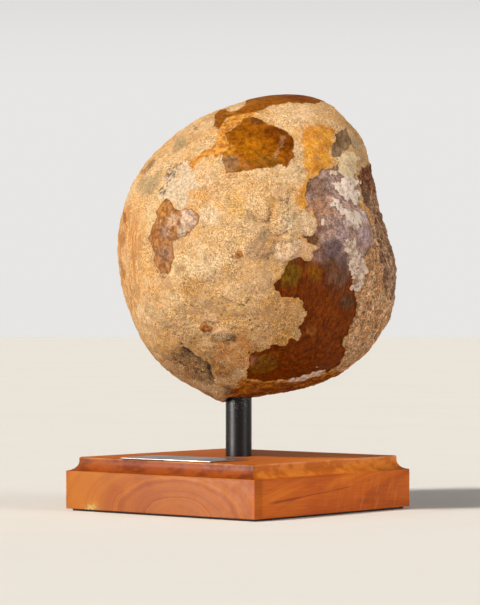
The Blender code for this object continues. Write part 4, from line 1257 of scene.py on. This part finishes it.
def build_base():
    low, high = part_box("base")
    half = (high.x - low.x) * 500.0
    bottom = low.z * 1000.0
    top = high.z * 1000.0
    cove_low = top - COVE_LOW
    rings = [ring_of(p, half, half, CORNER_ROUND, SIDE_STEPS) for p in base_profile(bottom, top)]
    count = len(rings[0])
    vertices = np.array([v for ring in rings for v in ring])

    # Small dents, a slight wave and a nick along the edges
    outward = np.where(np.abs(vertices[:, :2]) > half - 8.0, np.sign(vertices[:, :2]), 0.0)
    at_cove = np.exp(-(((vertices[:, 2] - cove_low) / 0.8) ** 2))
    at_foot = np.exp(-(((vertices[:, 2] - bottom) / 1.0) ** 2))
    dent = (at_cove + at_foot) * DENT_DEPTH * np.clip(fractal(vertices, 7.0, 3, 51.0), 0, 1)
    wave = WAVE_DEPTH * fractal(vertices, 30.0, 2, 52.0)
    depth = dent + NICK_DEPTH * nick(vertices, bottom, half, 3.4, 2.6) + np.abs(wave)
    vertices[:, :2] -= outward * depth[:, None]

    # The post's hole
    radius, post_bottom, _ = post_size()
    hole = (radius + FIT_GAP) * 1000.0
    start = len(vertices)
    points = [mm(*v) for v in vertices]
    points += circle(hole + HOLE_CHAMFER, top, HOLE_SIDES)
    points += circle(hole, top - HOLE_CHAMFER, HOLE_SIDES)
    points += circle(hole, (post_bottom - FIT_GAP) * 1000.0, HOLE_SIDES)
    faces = bands(len(rings), count)
    faces += [(b, a, d, c) for a, b, c, d in bands(3, HOLE_SIDES, start)]
    faces.append([start + 2 * HOLE_SIDES + i for i in range(HOLE_SIDES)])

    base = mesh_object("wood_base", points, [])
    mesh = base.data
    bm = bmesh.new()
    bm.from_mesh(mesh)
    bm.verts.ensure_lookup_table()
    for face in faces:
        bm.faces.new([bm.verts[i] for i in face])
    edges = loop_edges(bm, (len(rings) - 1) * count, count) + loop_edges(bm, start, HOLE_SIDES)
    bmesh.ops.triangle_fill(bm, use_beauty=True, use_dissolve=False, edges=edges)
    bm.faces.new([bm.verts[i] for i in range(count)][::-1])
    bmesh.ops.recalc_face_normals(bm, faces=bm.faces)
    bm.to_mesh(mesh)
    bm.free()

    co = np.zeros(len(mesh.vertices) * 3)
    mesh.vertices.foreach_get("co", co)
    at = co.reshape(-1, 3) * 1000.0
    from_side = half - np.max(np.abs(at[:, :2]), axis=1)
    in_cove = smooth_step(at[:, 2], cove_low - 0.2, cove_low + 0.2)
    in_cove = in_cove * smooth_step(-from_side, -COVE_WIDTH - 1.2, -COVE_WIDTH + 0.2)
    front_or_back = np.abs(at[:, 1]) > np.abs(at[:, 0])
    red = in_cove * np.where(front_or_back, 1.0, -1.0)
    top_face = smooth_step(at[:, 2], top - 0.3, top - 0.05)
    scar = np.clip(1.4 * nick(at, bottom, half, 4.5, 3.2), 0, 1)
    write_attribute(mesh, "cove_top_and_nick", (red, top_face, scar))
    mesh.shade_smooth()
    mesh.set_sharp_from_angle(angle=math.radians(32))
    mesh.materials.append(wood_material())
    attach(base, "root")
    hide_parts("base")


def build_post():
    radius, low, high = (v * 1000.0 for v in post_size())
    profile = [(radius - 0.6, low), (radius - 0.18, low + 0.18), (radius, low + 0.6)]
    profile += [(radius, low + 0.6 + (high - low - 1.2) * i / 12) for i in range(1, 13)]
    profile += [(radius - 0.18, high - 0.18), (radius - 0.6, high)]
    vertices = [v for r, z in profile for v in circle(r, z, POST_SIDES)]
    last = (len(profile) - 1) * POST_SIDES
    faces = [list(range(POST_SIDES))[::-1], [last + i for i in range(POST_SIDES)]]
    faces += bands(len(profile), POST_SIDES)
    post = mesh_object("black_post", vertices, faces)
    post.data.shade_smooth()
    post.data.set_sharp_from_angle(angle=math.radians(40))
    post.data.materials.append(post_material())
    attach(post, "root")
    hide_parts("post")


def build_plate():
    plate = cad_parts["label_plate"]
    weld = plate.modifiers.new("weld", "WELD")
    weld.merge_threshold = 0.00001
    bevel = plate.modifiers.new("soft_edges", "BEVEL")
    bevel.width = 0.00012
    bevel.segments = 2
    plate.data.materials.clear()
    plate.data.materials.append(plate_material())


def build_pad():
    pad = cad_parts["base_pad"]
    pad.data.materials.clear()
    pad.data.materials.append(felt_material())


# The stage


def aim(obj, target):
    obj.rotation_euler = (Vector(target) - obj.location).to_track_quat("-Z", "Y").to_euler()


def stage_place(r, b, z):
    return Vector((r * SIDE[0] + b * FRONT[0], r * SIDE[1] + b * FRONT[1], z))


def add_sun(name, place, strength, spread_deg, colour):
    light = bpy.data.lights.new(name, "SUN")
    light.energy = strength
    light.angle = math.radians(spread_deg)
    light.color = colour
    obj = linked(name, light)
    obj.location = place
    aim(obj, (0.0, 0.0, 0.14))


def add_sheen(name, place, width, height, power, colour):
    # A small strip close to the post that shows in shiny surfaces only.
    light = bpy.data.lights.new(name, "AREA")
    light.shape = "RECTANGLE"
    light.size = width
    light.size_y = height
    light.energy = power
    light.color = colour
    obj = linked(name, light)
    obj.location = place
    obj.visible_diffuse = False
    obj.visible_camera = False
    aim(obj, (0.0, 0.0, 0.05))


def build_stage():
    bm = bmesh.new()
    bmesh.ops.create_circle(bm, cap_ends=True, segments=96, radius=9.0)
    mesh = bpy.data.meshes.new("stage_floor")
    bm.to_mesh(mesh)
    bm.free()
    mesh.materials.append(floor_material())
    floor = linked("stage_floor", mesh)

    world = bpy.data.worlds.new("stage_world")
    bpy.context.scene.world = world
    world.use_nodes = True
    nodes = world.node_tree.nodes
    links = world.node_tree.links
    back = nodes["Background"]
    place = nodes.new("ShaderNodeTexCoord")
    split = nodes.new("ShaderNodeSeparateXYZ")
    links.new(place.outputs["Generated"], split.inputs[0])
    ramp = nodes.new("ShaderNodeMapRange")
    ramp.interpolation_type = "SMOOTHSTEP"
    for key, value in {"From Min": 0.07, "From Max": 0.22, "To Min": 0.8, "To Max": 0.2}.items():
        ramp.inputs[key].default_value = value
    links.new(split.outputs[2], ramp.inputs["Value"])
    links.new(ramp.outputs[0], back.inputs["Strength"])
    back.inputs["Color"].default_value = (1.0, 0.99, 0.97, 1.0)

    # Suns: strength and spread in degrees. Strips: width, height and power.
    add_sun("key", stage_place(-1.5, 1.25, 2.0), 3.08, 9.0, (1.0, 0.93, 0.83))
    add_sun("side", stage_place(-2.3, 1.35, 0.5), 1.3, 17.0, (1.0, 0.93, 0.84))
    add_sun("fill", stage_place(2.2, 1.4, 0.75), 1.66, 17.0, (1.0, 0.93, 0.84))
    add_sheen("sheen_left", stage_place(-0.39, 0.225, 0.05), 0.17, 0.16, 3.5, (1.0, 0.96, 0.93))
    add_sheen("sheen_right", stage_place(0.4, 0.195, 0.05), 0.05, 0.16, 0.14, (0.86, 0.8, 1.0))

    camera = bpy.data.cameras.new("camera")
    camera.sensor_width = 36.0
    camera.lens = FOCAL_PX / PHOTO_HEIGHT * camera.sensor_width
    camera.clip_start = 0.05
    obj = linked("camera", camera)
    obj.location = stage_place(*mm(CAMERA_SHIFT, CAMERA_DISTANCE, CAMERA_HEIGHT))
    obj.rotation_euler = (math.pi / 2, 0.0, TURN)
    bpy.context.scene.camera = obj
    bpy.context.scene.view_settings.view_transform = "Standard"


build_head()
build_base()
build_post()
build_plate()
build_pad()
build_stage()
